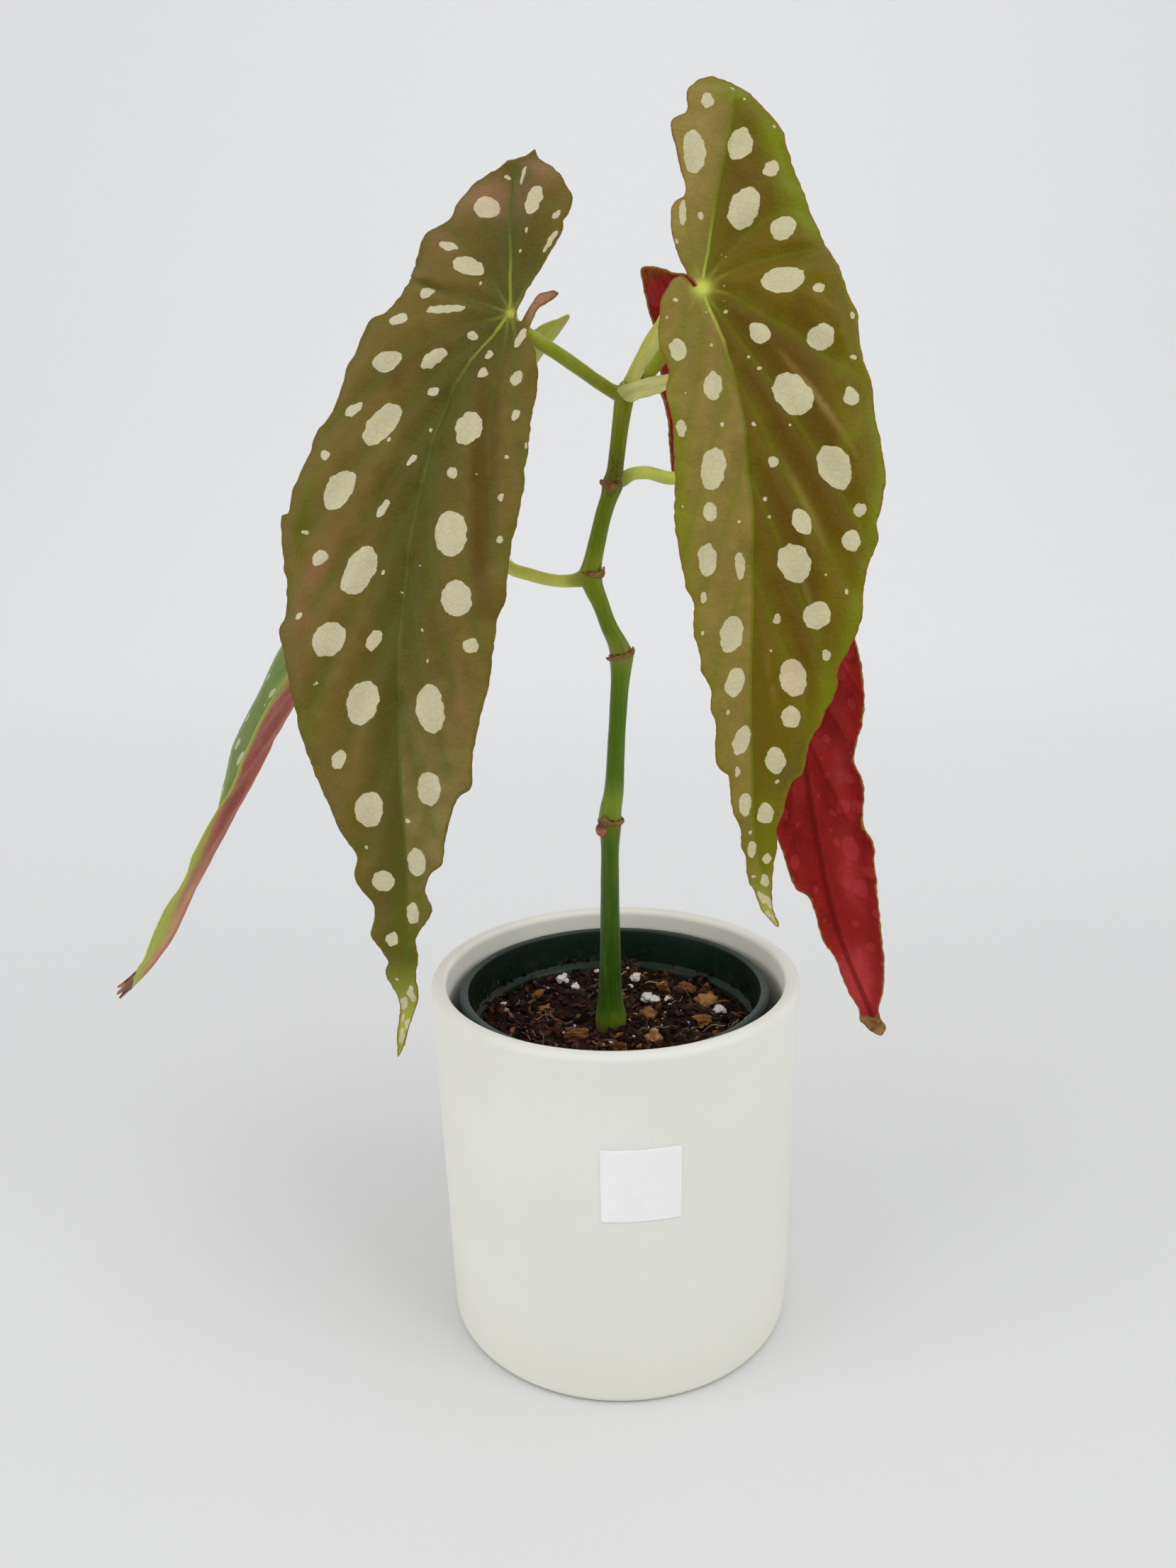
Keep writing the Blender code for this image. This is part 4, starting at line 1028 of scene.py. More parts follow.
graph.feed(out["Net"], graph.math("MAXIMUM", graph.ramp(cells, 0.07, 0.015), fine_net))
edge = graph.value("edge")
graph.feed(out["Margin"], graph.ramp(graph.math("ADD", edge, edge_noise), 0.42, 0.15))
graph.feed(out["Rim Zone"], graph.ramp(edge, 14.0, 1.0))
graph.feed(out["Left"], graph.ramp(graph.value("rib"), 0.4, -0.4))
drawn = graph.node("SeparateXYZ", {0: flat}).outputs
low_down = graph.ramp(drawn[1], 85.0, 150.0)
graph.feed(out["Low Right"], graph.math("MULTIPLY", graph.ramp(graph.value("rib"), -0.4, 0.4), low_down))
outward = graph.math("ADD", rib_off, graph.math("MULTIPLY", fine, 3.0))
graph.feed(out["Outward"], graph.ramp(outward, 3.0, 16.0))
cloud = graph.noise(flat, 0.16, 4.0, 0.6, 0.4)
soft = graph.math("MULTIPLY", graph.math("SUBTRACT", cloud, 0.5), 0.8)
for label, socket in zip(("Green", "Brown", "Blush And Sheen"), tints.outputs):
    shaken = graph.math("ADD", socket, graph.math("MULTIPLY", soft, graph.ramp(socket, 0.0, 0.25)))
    graph.feed(out[label], graph.ramp(shaken, 0.05, 0.95))
from_joint = graph.math("SQRT", graph.math(
    "ADD", graph.math("POWER", drawn[0], 2.0), graph.math("POWER", drawn[1], 2.0)
))
near_joint = graph.ramp(from_joint, 28.0, 3.0, 0.0, 0.55)
lit_rib = graph.math("MULTIPLY", graph.ramp(rib_off, 0.62, 0.25), near_joint)
at_joint = graph.ramp(from_joint, 10.0, 1.5, 0.0, 0.2)
lit_vein = graph.math("MULTIPLY", graph.ramp(vein, 0.7, 0.3), at_joint)
lit = graph.math("MAXIMUM", lit_rib, lit_vein)
graph.feed(out["Star"], graph.math("MAXIMUM", marks.outputs[1], lit, clamp=True))
patchy = graph.math("MULTIPLY", soft, graph.ramp(marks.outputs[2], 0.0, 0.2))
dry = graph.math("ADD", marks.outputs[2], patchy)
graph.feed(out["Dry"], graph.ramp(dry, 0.3, 0.6))
graph.feed(out["Cloud"], graph.ramp(cloud, 0.32, 0.68))
graph.feed(out["Grain"], fine)
raised = graph.math("MULTIPLY", graph.ramp(cells, 0.0, 0.25), 0.45)
raised = graph.math("ADD", raised, graph.math("MULTIPLY", graph.ramp(fine_cells, 0.0, 0.2), 0.22))
raised = graph.math("ADD", raised, graph.math("MULTIPLY", graph.noise(flat, 5.0, 2.0), 0.25))
graph.feed(out["Height"], raised)


def blade_top(name, near, outer, left, green, brown, blush_and_sheen, spot, spot_pink, star, rib, margin, dry,
              pale_sheen_half="Left", pale_sheen_share=0.4, net_share=0.4):
    """The upper side of a blade: satin, mottled and spotted, with one half paler: part its own colour
    and part a painted sheen.
    """
    material, graph, shader = new_material(name, 0.4, Specular_IOR_Level=0.27, Specular_Tint=WAX)
    mask = graph.group(leaf_marks, Jagged=0.5, **{"Rib Width": 0.5}).outputs
    colour = graph.mix(mask["Outward"], near, outer)
    colour = graph.mix(mask["Brown"], colour, brown)
    # painted sheen: one half is mixed towards a paler colour, partly the leaf's own colour and partly
    # the sheen of light on that half
    colour = graph.mix(graph.math("MULTIPLY", mask[pale_sheen_half], pale_sheen_share), colour, left)
    # the blush patches are a real blush on some leaves and painted sheen bands and patches on others
    colour = graph.mix(mask["Blush And Sheen"], colour, blush_and_sheen)
    colour = graph.mix(mask["Green"], colour, green)
    colour = graph.mix(graph.math("MULTIPLY", mask["Cloud"], 0.3), colour, brown)
    colour = graph.mix(graph.ramp(mask["Grain"], 0.45, 0.75, 0.0, 0.10), colour, outer)
    colour = graph.mix(graph.math("MULTIPLY", mask["By Vein"], 0.22), colour, rib)
    colour = graph.mix(graph.math("MULTIPLY", mask["Vein"], 0.3), colour, rib)
    net = graph.math("MULTIPLY", mask["Net"], graph.math("MULTIPLY", mask["Rim Zone"], net_share))
    colour = graph.mix(net, colour, rib)
    colour = graph.mix(graph.math("MULTIPLY", mask["Rib"], 0.95), colour, rib)
    colour = graph.mix(mask["Star"], colour, star)
    white = graph.mix(graph.math("MULTIPLY", mask["Pink"], mask["Cloud"]), spot, spot_pink)
    white = graph.mix(graph.ramp(mask["Grain"], 0.35, 0.65, 0.0, 0.25), white, paint(190, 178, 138))
    white = graph.mix(graph.math("MULTIPLY", mask["Net"], 0.20), white, paint(160, 152, 108))
    colour = graph.mix(graph.math("MULTIPLY", mask["Spot"], 0.96), colour, white)
    colour = graph.mix(graph.math("MULTIPLY", mask["Margin"], 0.8), colour, margin)
    colour = graph.mix(mask["Dry"], colour, graph.mix(mask["Cloud"], dry, paint(84, 52, 26)))
    graph.feed(shader["Base Color"], colour)
    satin = graph.ramp(mask["Grain"], 0.2, 0.8, 0.34, 0.48)
    graph.feed(shader["Roughness"], graph.math("ADD", satin, graph.math("MULTIPLY", mask["Dry"], 0.25)))
    height = graph.math("ADD", mask["Height"], graph.math("MULTIPLY", mask["Spot"], 0.35))
    graph.feed(shader["Normal"], graph.bump(height, 0.00022, 0.8))
    return material


def blade_under(name, body, deep, light, vein, margin, dry, spot_share=0.3):
    """The underside: smoother and redder, with its veins standing out and the spots faint."""
    material, graph, shader = new_material(name, 0.42, Specular_IOR_Level=0.16, Specular_Tint=WAX)
    mask = graph.group(leaf_marks, Jagged=0.8, **{"Rib Width": 1.3}).outputs
    colour = graph.mix(graph.math("MULTIPLY", mask["Cloud"], 0.6), body, deep)
    colour = graph.mix(mask["Brown"], colour, deep)
    # the blush patches are partly real blush and partly painted sheen bands
    colour = graph.mix(mask["Blush And Sheen"], colour, light)
    colour = graph.mix(graph.ramp(mask["Grain"], 0.4, 0.75, 0.0, 0.15), colour, light)
    colour = graph.mix(graph.math("MULTIPLY", mask["Spot"], spot_share), colour, light)
    colour = graph.mix(graph.math("MULTIPLY", mask["Net"], 0.12), colour, deep)
    colour = graph.mix(graph.math("MULTIPLY", mask["Vein"], 0.4), colour, vein)
    colour = graph.mix(graph.math("MULTIPLY", mask["Rib"], 0.7), colour, vein)
    colour = graph.mix(mask["Green"], colour, margin)
    colour = graph.mix(mask["Margin"], colour, margin)
    colour = graph.mix(mask["Dry"], colour, graph.mix(mask["Cloud"], dry, paint(84, 52, 26)))
    graph.feed(shader["Base Color"], colour)
    graph.feed(shader["Roughness"], graph.ramp(mask["Grain"], 0.2, 0.8, 0.38, 0.52))
    height = graph.math("ADD", mask["Height"], graph.math("MULTIPLY", mask["Vein"], 0.8))
    graph.feed(shader["Normal"], graph.bump(height, 0.00020, 0.7))
    return material


def keep_vectors(piece, label, *parts):
    """Stores a vector for each point of a piece, for its material to read."""
    vectors = np.stack(parts, axis=1).astype(np.float32).ravel()
    kept = piece.data.attributes.new(label, "FLOAT_VECTOR", "POINT")
    kept.data.foreach_set("vector", vectors)


def grow_leaf(name, where, seed, outline, midrib, veins, spots, greens, browns, blush_and_sheen_patches, finishes,
              dry_from=PAST_THE_TIP, pale_from=PAST_THE_TIP, green_edge=2.2, ripple=1.0, relief=1.0,
              joint=1.4):
    """Makes one blade from its flat drawing. It is dry or pale past those stretches of s, green
    within green_edge of its margin, and joint is the size of the lime star over its petiole."""
    ring = closed_curve(outline, spacing=0.85)
    outward = np.roll(ring, -1, axis=0) - np.roll(ring, 1, axis=0)
    outward = np.stack([outward[:, 1], -outward[:, 0]], axis=1)
    outward /= np.linalg.norm(outward, axis=1)[:, None] + 1e-9
    nibbled = 0.22 * waves(*ring.T, 2.6, seed) + 0.1 * waves(*ring.T, 1.1, seed)
    ring = ring + outward * nibbled[:, None]
    rib_x, rib_s = np.array(midrib).T

    def vein_distance(x, s):
        return np.min([line_distance(x, s, vein) for vein in veins], axis=0)

    def detail(x, s):
        edges = np.abs(spot_distance(x, s, spots)[0])
        rib = np.abs(x - np.interp(s, rib_s, rib_x))
        return np.minimum(np.minimum(edges, vein_distance(x, s) + 0.35), rib + 0.3)

    mesh = cut_finely(ring, LEAF_CUT, detail)
    x, s = np.array([v.co[:2] for v in mesh.verts]).T
    rib = x - np.interp(s, rib_s, rib_x)
    vein = vein_distance(x, s)
    edge = line_distance(x, s, np.vstack([ring, ring[:1]]))
    wander_x = x + 0.32 * waves(x, s, 1.9, seed + 5)
    wander_s = s + 0.32 * waves(x, s, 1.9, seed + 6)
    spot, pink = spot_distance(wander_x, wander_s, spots)
    inside = smooth(edge, 0, 5)
    lift = 1.5 * smooth(vein, 0, 5) * inside - 0.4 * (1 - smooth(np.abs(rib), 0.3, 1.8))
    lift += 0.7 * waves(x, s, 15, seed + 1) + 0.22 * waves(x, s, 4.5, seed + 2) * inside
    lift *= relief
    lift += ripple * 1.1 * waves(x * 0.4, s, 9, seed + 3) * (1 - smooth(edge, 0, 8))
    from_joint = np.hypot(x, s)
    lift *= smooth(from_joint, 0.5, 5)
    lime = 1.2 * np.exp(-((from_joint / joint) ** 2)) + 0.8 * smooth(s, *pale_from)
    for vertex, point in zip(mesh.verts, bend(x, s, lift, **SURFACES[where])):
        vertex.co = point
    leaf = finished(name, mesh, finishes, [f"leaf_{where}"])
    for label, values in (("spot", spot), ("vein", vein), ("rib", rib), ("edge", edge)):
        keep_values(leaf, label, values.astype(np.float32))
    tints = [soft_patches(x, s, patches) for patches in (greens, browns, blush_and_sheen_patches)]
    near_edge = (1 - smooth(edge, 0.3, green_edge)) * (1 - np.minimum(tints[2], 1))
    tints[0] = np.maximum(tints[0], 0.7 * near_edge)
    dryness = smooth(s + 0.6 * np.abs(x), *dry_from)
    keep_vectors(leaf, "flat", x, s, np.full(len(x), seed * 7.0))
    keep_vectors(leaf, "tints", *tints)
    keep_vectors(leaf, "marks", pink, np.clip(lime, 0, 1), dryness)
    body = thicken(leaf, LEAF_THICKNESS)
    body.material_offset = 1
    body.material_offset_rim = 1


def eased(points, table):
    """A drawing's points moved a little, by a table of rows: s, how far the left half and the right
    half move along s there, and how much wider both grow."""
    at, left, right, wide = zip(*table)
    return [
        (x * np.interp(s, at, wide), s + np.interp(s, at, left if x < 0 else right), *rest)
        for x, s, *rest in points
    ]


# Front left leaf: olive brown, greener along its left margin, blushed on the lobe
LEFT_OUTLINE = (
    (1.2, -1), (2, -6), (3, -10), (5, -14.5), (7.5, -18.5), (9.8, -22.5), (9.7, -24.5),
    (11.2, -26), (12, -30), (10.5, -32.5), (8, -36), (4.5, -39), (1.2, -41), (0.1, -43.2),
    (-1.5, -41.6), (-6, -39.5), (-10, -36.8), (-14, -34.8), (-18, -31), (-19.7, -28), (-20, -25),
    (-23, -22.5), (-27, -20), (-28.3, -16), (-29.3, -9), (-29.2, -3), (-28.6, 4), (-28.4, 11),
    (-29, 17), (-32, 20.5), (-31.6, 26), (-32, 29), (-31.5, 34), (-32, 40), (-34.5, 45),
    (-35.5, 51), (-36.2, 60), (-36, 66), (-37.6, 66.5), (-37, 71), (-34.8, 78.5), (-33.2, 83),
    (-32.8, 90), (-34, 93), (-32.5, 97.5), (-30.5, 104), (-28.7, 112), (-26.5, 119), (-24, 125.5),
    (-21, 133), (-18.2, 141.5), (-16.3, 145.5), (-13.6, 150.5), (-14.1, 156), (-12.5, 159.5),
    (-9.3, 164), (-9.1, 169), (-9.6, 172.5), (-6.5, 176), (-4.8, 180), (-5.4, 183), (-2.7, 188.5),
    (-1.2, 193), (-0.5, 200), (0, 208.2), (1.5, 204.5), (2.4, 199), (3.3, 193.5), (3.9, 188.5),
    (2.7, 183), (3.2, 178.5), (2.6, 173), (4.2, 169.7), (6.2, 167), (6.6, 164.3), (5, 160.5),
    (5.4, 157), (7, 154.8), (9.6, 152.6), (10.4, 147.5), (12.4, 142), (13.6, 138), (15.2, 135.6),
    (18.4, 133.8), (19.4, 131.5), (19.5, 127), (20.4, 121), (22, 113), (23.7, 104), (24.3, 97),
    (24.7, 90), (24.6, 85), (26.4, 80), (25.8, 72), (25, 64), (25.5, 57), (24.8, 48), (23.4, 40.5),
    (22.6, 34.5), (20.6, 26.5), (18.6, 18), (16.6, 12.7), (13.3, 8.2), (9.2, 4.6), (6.6, 2.7),
    (6.2, -0.5), (6.6, -3.4), (8.6, -5.8), (10.8, -8.2), (8.4, -8.2), (5.6, -6.8), (4.3, -3.6),
    (3.9, -1), (3.4, 0.8), (2.2, 0.8),
)
LEFT_MIDRIB = (
    (-5, -44), (-5, -25), (-3, -10), (-0.5, 0), (-2, 10), (-3, 25), (-3, 45), (-2, 70),
    (-0.5, 100), (0, 150), (0.5, 200),
)
LEFT_VEINS = (
    ((0, 0), (-10, 0.5), (-20, 2), (-28, 4)), ((0, 0), (-8, 8), (-16, 20), (-24, 33), (-31, 44)),
    ((-2.5, 8), (-8, 24), (-15, 40), (-22, 55), (-29, 70)),
    ((-3, 30), (-9, 48), (-16, 70), (-24, 88)), ((-2.5, 55), (-9, 75), (-17, 96), (-24, 112)),
    ((-1.5, 85), (-8, 104), (-15, 122)), ((-1, 115), (-7, 135), (-11, 150)),
    ((0, 0), (6, 8), (12, 18), (18, 30), (22, 42)),
    ((0, 2), (5, 15), (10, 32), (16, 52), (22, 70)),
    ((-1.5, 20), (4, 42), (10, 62), (17, 84), (22, 98)), ((-2, 45), (3, 68), (9, 88), (15, 108)),
    ((-1, 75), (5, 98), (10, 116), (13, 130)), ((0, 110), (4, 128), (8, 145)),
    ((0, 0), (-3, -10), (-5, -25), (-5, -38)), ((0, 0), (-8, -8), (-16, -18), (-22, -24)),
    ((0, 0), (2, -8), (5, -18), (8, -30)),
)
LEFT_SPOTS = (
    (-11, -26.7, 3.3, 3.1, 0, 1), (1.6, -29.3, 2.2, 3.9, 15), (-1.9, -35.7, 0.6, 2.1, 15),
    (-6.5, -35.3, 0.9, 0.5, 0, 1), (7.9, -26.1, 0.6, 1.4, 40), (0.2, -21.9, 0.5, 0.8, 0),
    (6.4, -19.6, 0.7, 3.1, 33), (-1, -16.3, 0.3, 0.6, 0), (-20.6, -15.4, 2.5, 1.6, 0),
    (-14.3, -9.7, 4.2, 3.4, 0), (-10, -4.5, 0.4, 0.8, 0), (-22, 7, 1.5, 3, 15),
    (-15.3, 8.8, 1.2, 5.6, 48), (-5.7, 11.3, 1, 1.4, 40), (-24.5, 17.7, 1.3, 2.4, 60),
    (0.8, 12.5, 0.6, 1.4, 0), (5.8, 4.5, 1.1, 2.6, 0), (10.7, 14.1, 1.6, 2.3, 0),
    (2.3, 17.7, 1.1, 1.8, 0), (-10.8, 21.2, 1.4, 3.6, 30), (-22.1, 25.7, 2, 3.6, 60),
    (-7.4, 27.9, 1.1, 1.6, 60), (16, 25.6, 1, 2.2, 0), (5.4, 33.7, 3.7, 4.8, -10),
    (-26, 37.7, 1.6, 2.4, 55), (-17.4, 39.5, 3.1, 6.2, 25), (22, 34.2, 0.4, 0.9, 0),
    (18.3, 39.7, 0.6, 0.6, 0), (-14.3, 42.7, 0.6, 0.6, 0), (-4.6, 37.6, 0.5, 0.5, 0),
    (-6.8, 46.2, 0.9, 1.8, 20), (4.6, 46.5, 1.3, 1.6, 0), (-30, 49.8, 1.3, 1.2, 0),
    (19.8, 50.7, 0.8, 1.1, 0), (11.4, 45.9, 0.3, 0.3, 0), (-23.8, 57.8, 3.7, 5.5, 22),
    (-10.8, 60.5, 1.2, 2.6, 20), (8.6, 63.2, 4.4, 6.2, -12), (21.8, 62.5, 0.8, 1, 0),
    (-30.7, 69.7, 1, 0.6, 0), (-25, 75.3, 1.7, 2.2, 45), (-14, 77, 3.8, 6.3, 22),
    (-7.6, 76.5, 0.5, 0.7, 0), (13.3, 81, 4, 4.9, -12), (-2, 80.9, 0.4, 0.3, 0),
    (1.9, 71.6, 0.2, 0.2, 0), (1.9, 73.2, 0.2, 0.2, 0), (-28.2, 89.7, 0.7, 1.1, 40),
    (-19.5, 94.8, 3.6, 4.6, 45), (-7.7, 94.1, 1.6, 2.8, 22), (18.6, 94.1, 1.9, 2.1, 0),
    (5.2, 90.5, 0.4, 0.6, 0), (7.2, 99, 0.4, 0.5, 0), (-23.6, 105.8, 0.3, 0.3, 0),
    (-22.7, 105.5, 0.4, 0.4, 0), (-9.9, 110.3, 4.2, 5.8, 22), (8.6, 111.8, 3.8, 6.4, -8),
    (-16.4, 124.7, 1.8, 2.4, 20), (-8.8, 137.5, 3.7, 4.7, 10), (7.3, 133.1, 3.3, 4.6, 5),
    (1.2, 141.1, 0.6, 0.6, 0), (-10.7, 148.1, 0.4, 0.4, 0), (2.9, 152.1, 2.4, 3.8, 0),
    (-6.2, 157.1, 2.8, 2.9, 0), (1.7, 165.8, 1.6, 2.8, 0), (-3.6, 172.9, 1.6, 1.9, 0),
    (-1.8, 184.5, 0.4, 0.4, 0), (2.1, 189, 1, 2.8, -15), (0.1, 192.2, 1.2, 2.2, 0),
    (0.4, 196.2, 0.5, 1, 0), (2, 197.5, 0.8, 1.5, 0), (0.8, 201, 0.7, 2.6, 0),
)
LEFT_EASE = (
    (-44, -2.5, -2.5, 1.0), (0, -0.5, 0.7, 1.0), (50, 1.0, 1.5, 0.98), (120, 0, -0.5, 0.985),
    (180, 0.3, 0.2, 1.0), (208, 1.7, 1.7, 1.0),
)
grow_leaf(
    "left_front_blade", "front_left", 1, eased(LEFT_OUTLINE, LEFT_EASE), LEFT_MIDRIB,
    LEFT_VEINS, eased(LEFT_SPOTS, LEFT_EASE),
    greens=((-31, 66, 3, 30, 0, 0.6), (-24, 116, 4, 26, 14, 0.6), (0, 190, 7, 26, 0, 0.8),
            (-14, 152, 4, 16, 0, 0.6), (24, 60, 2.5, 34, 0, 0.5), (3, 158, 6, 20, 0, 0.4)),
    browns=((10, 36, 4, 22, -14, 1.0), (17, 66, 4, 20, -10, 0.8), (-16, 25, 4, 18, 35, 0.7),
            (-12, 58, 4, 22, 15, 0.6), (12, 100, 5, 20, -10, 0.5), (-12, 97, 4, 16, 15, 0.3),
            (-11, -12, 5, 6, 0, 0.4), (-5, 128, 4, 22, 0, 0.2)),
    # blush patches: partly a real pink blush on the lobe and partly painted sheen on the blade
    blush_and_sheen_patches=((-10, -32, 14, 9, 0, 0.55), (-22, -15, 6, 7, 0, 0.35), (7.4, -4, 3, 5, 0, 1.8),
             (5, -40, 7, 5, 0, 0.4), (-30, 50, 5, 30, 0, 0.22), (-25, 92, 6, 24, 0, 0.22),
             (22, 60, 4, 40, 0, 0.2), (7, 156, 3, 14, 0, 0.3), (-24, 78, 2.4, 14, 22, 0.3),
             (16, 108, 2.2, 18, -12, 0.35), (-10, 120, 2.2, 16, 14, 0.3)),
    finishes=(
        blade_top(
            "left_blade_top", near=paint(78, 77, 27), outer=paint(112, 93, 40),
            left=paint(150, 134, 82), green=paint(90, 98, 8), brown=paint(84, 60, 10),
            blush_and_sheen=paint(166, 116, 88), spot=paint(208, 200, 166), spot_pink=paint(212, 188, 162),
            star=paint(174, 180, 70), rib=paint(84, 94, 32), margin=paint(120, 84, 46),
            dry=paint(180, 170, 120), pale_sheen_half="Low Right", pale_sheen_share=0.6, net_share=0.15,
        ),
        blade_under(
            "left_blade_under", body=paint(150, 44, 38), deep=paint(118, 26, 26),
            light=paint(180, 92, 72), vein=paint(120, 26, 28), margin=paint(128, 110, 44),
            dry=paint(150, 120, 70),
        ),
    ),
    pale_from=(176, 200), green_edge=1.4,
)

# Front right leaf: deep brown over its right half, going green at the margins
RIGHT_OUTLINE = (
    (-1.2, -1.2), (-2.8, -4.5), (-4.5, -8.5), (-5.6, -12), (-6.7, -17), (-6.4, -20.5), (-5, -22.4),
    (-3.2, -23.6), (-3, -26), (-4.5, -30), (-6.5, -35), (-7.8, -38), (-8, -41), (-7, -42.6),
    (-4.6, -43.7), (-4.2, -45.5), (-4.7, -49), (-3.2, -51.4), (-0.8, -53.3), (2.5, -54.1),
    (6.7, -53.2), (10.5, -51), (14.2, -47.5), (18.5, -43.5), (20.9, -40.6), (22.4, -36.5),
    (25, -31.7), (27.5, -26.3), (29.6, -20), (31.6, -14.5), (33.3, -8), (34.6, -1.5), (35.2, 6),
    (35.3, 16), (35.8, 19.1), (34.9, 21), (34.1, 27.3), (35, 31), (34.8, 38), (35.5, 46),
    (35.8, 53), (34, 60), (32.2, 64.3), (32.7, 68), (29.7, 74.5), (28.3, 81), (27.7, 87),
    (25.6, 93), (23.5, 97), (21.4, 101), (20.9, 106.7), (17.6, 112.8), (16.3, 116), (14, 119.2),
    (12.6, 123.5), (11.3, 128.7), (9, 130.4), (7.3, 134), (6, 138.4), (4.2, 142), (3.8, 148),
    (2.4, 153), (0.8, 159.5), (0.3, 165), (0.6, 170), (-1.2, 167.5), (-2.7, 164), (-3.5, 159.5),
    (-4.7, 155), (-4.5, 150), (-5.4, 147), (-5.2, 143), (-7, 137.5), (-7.6, 132), (-8, 127.2),
    (-10.2, 125.5), (-11, 122), (-10.5, 115), (-11.5, 110.5), (-11.3, 105), (-13.6, 101.2),
    (-14, 97), (-15.6, 90.5), (-15.7, 82), (-17.3, 78.5), (-18.6, 71.5), (-19.7, 64), (-19.7, 57),
    (-19.1, 50), (-18.6, 41), (-17.8, 34), (-18.2, 26.8), (-17.8, 23.2), (-15.8, 18.5),
    (-15.3, 14.8), (-16, 11.7), (-14.3, 7), (-11.7, 1.7), (-9, -2), (-6.3, -3.8), (-4.2, -4),
    (-3, -2.8), (-2, -1),
)
RIGHT_MIDRIB = (
    (8.5, -56), (6, -33), (4.5, -20), (3, -10), (0, 0), (0.5, 15), (0.5, 60), (-1, 100),
    (-2, 140), (0, 168),
)
RIGHT_VEINS = (
    ((0, 0), (6, 4), (14, 15), (24, 26), (33, 32)),
    ((0.5, 2), (6, 22), (14, 40), (24, 60), (31, 72)), ((0.5, 25), (8, 48), (16, 66), (24, 80)),
    ((0, 50), (8, 72), (15, 92), (20, 104)), ((-0.5, 75), (6, 92), (12, 108), (13, 118)),
    ((0, 0), (-6, 6), (-12, 14)), ((0, 3), (-7, 18), (-14, 36), (-18, 48)),
    ((0, 20), (-8, 42), (-14, 60), (-18, 72)), ((0, 45), (-8, 68), (-14, 84)),
    ((-0.5, 72), (-7, 92), (-12, 108)), ((0, 0), (3, -10), (4.5, -20), (6, -33), (8, -48)),
    ((0, 0), (8, -8), (18, -18), (27, -24)), ((0, 0), (14, -4), (30, -6)),
    ((0, 0), (-1, -10), (-3, -24)),
)
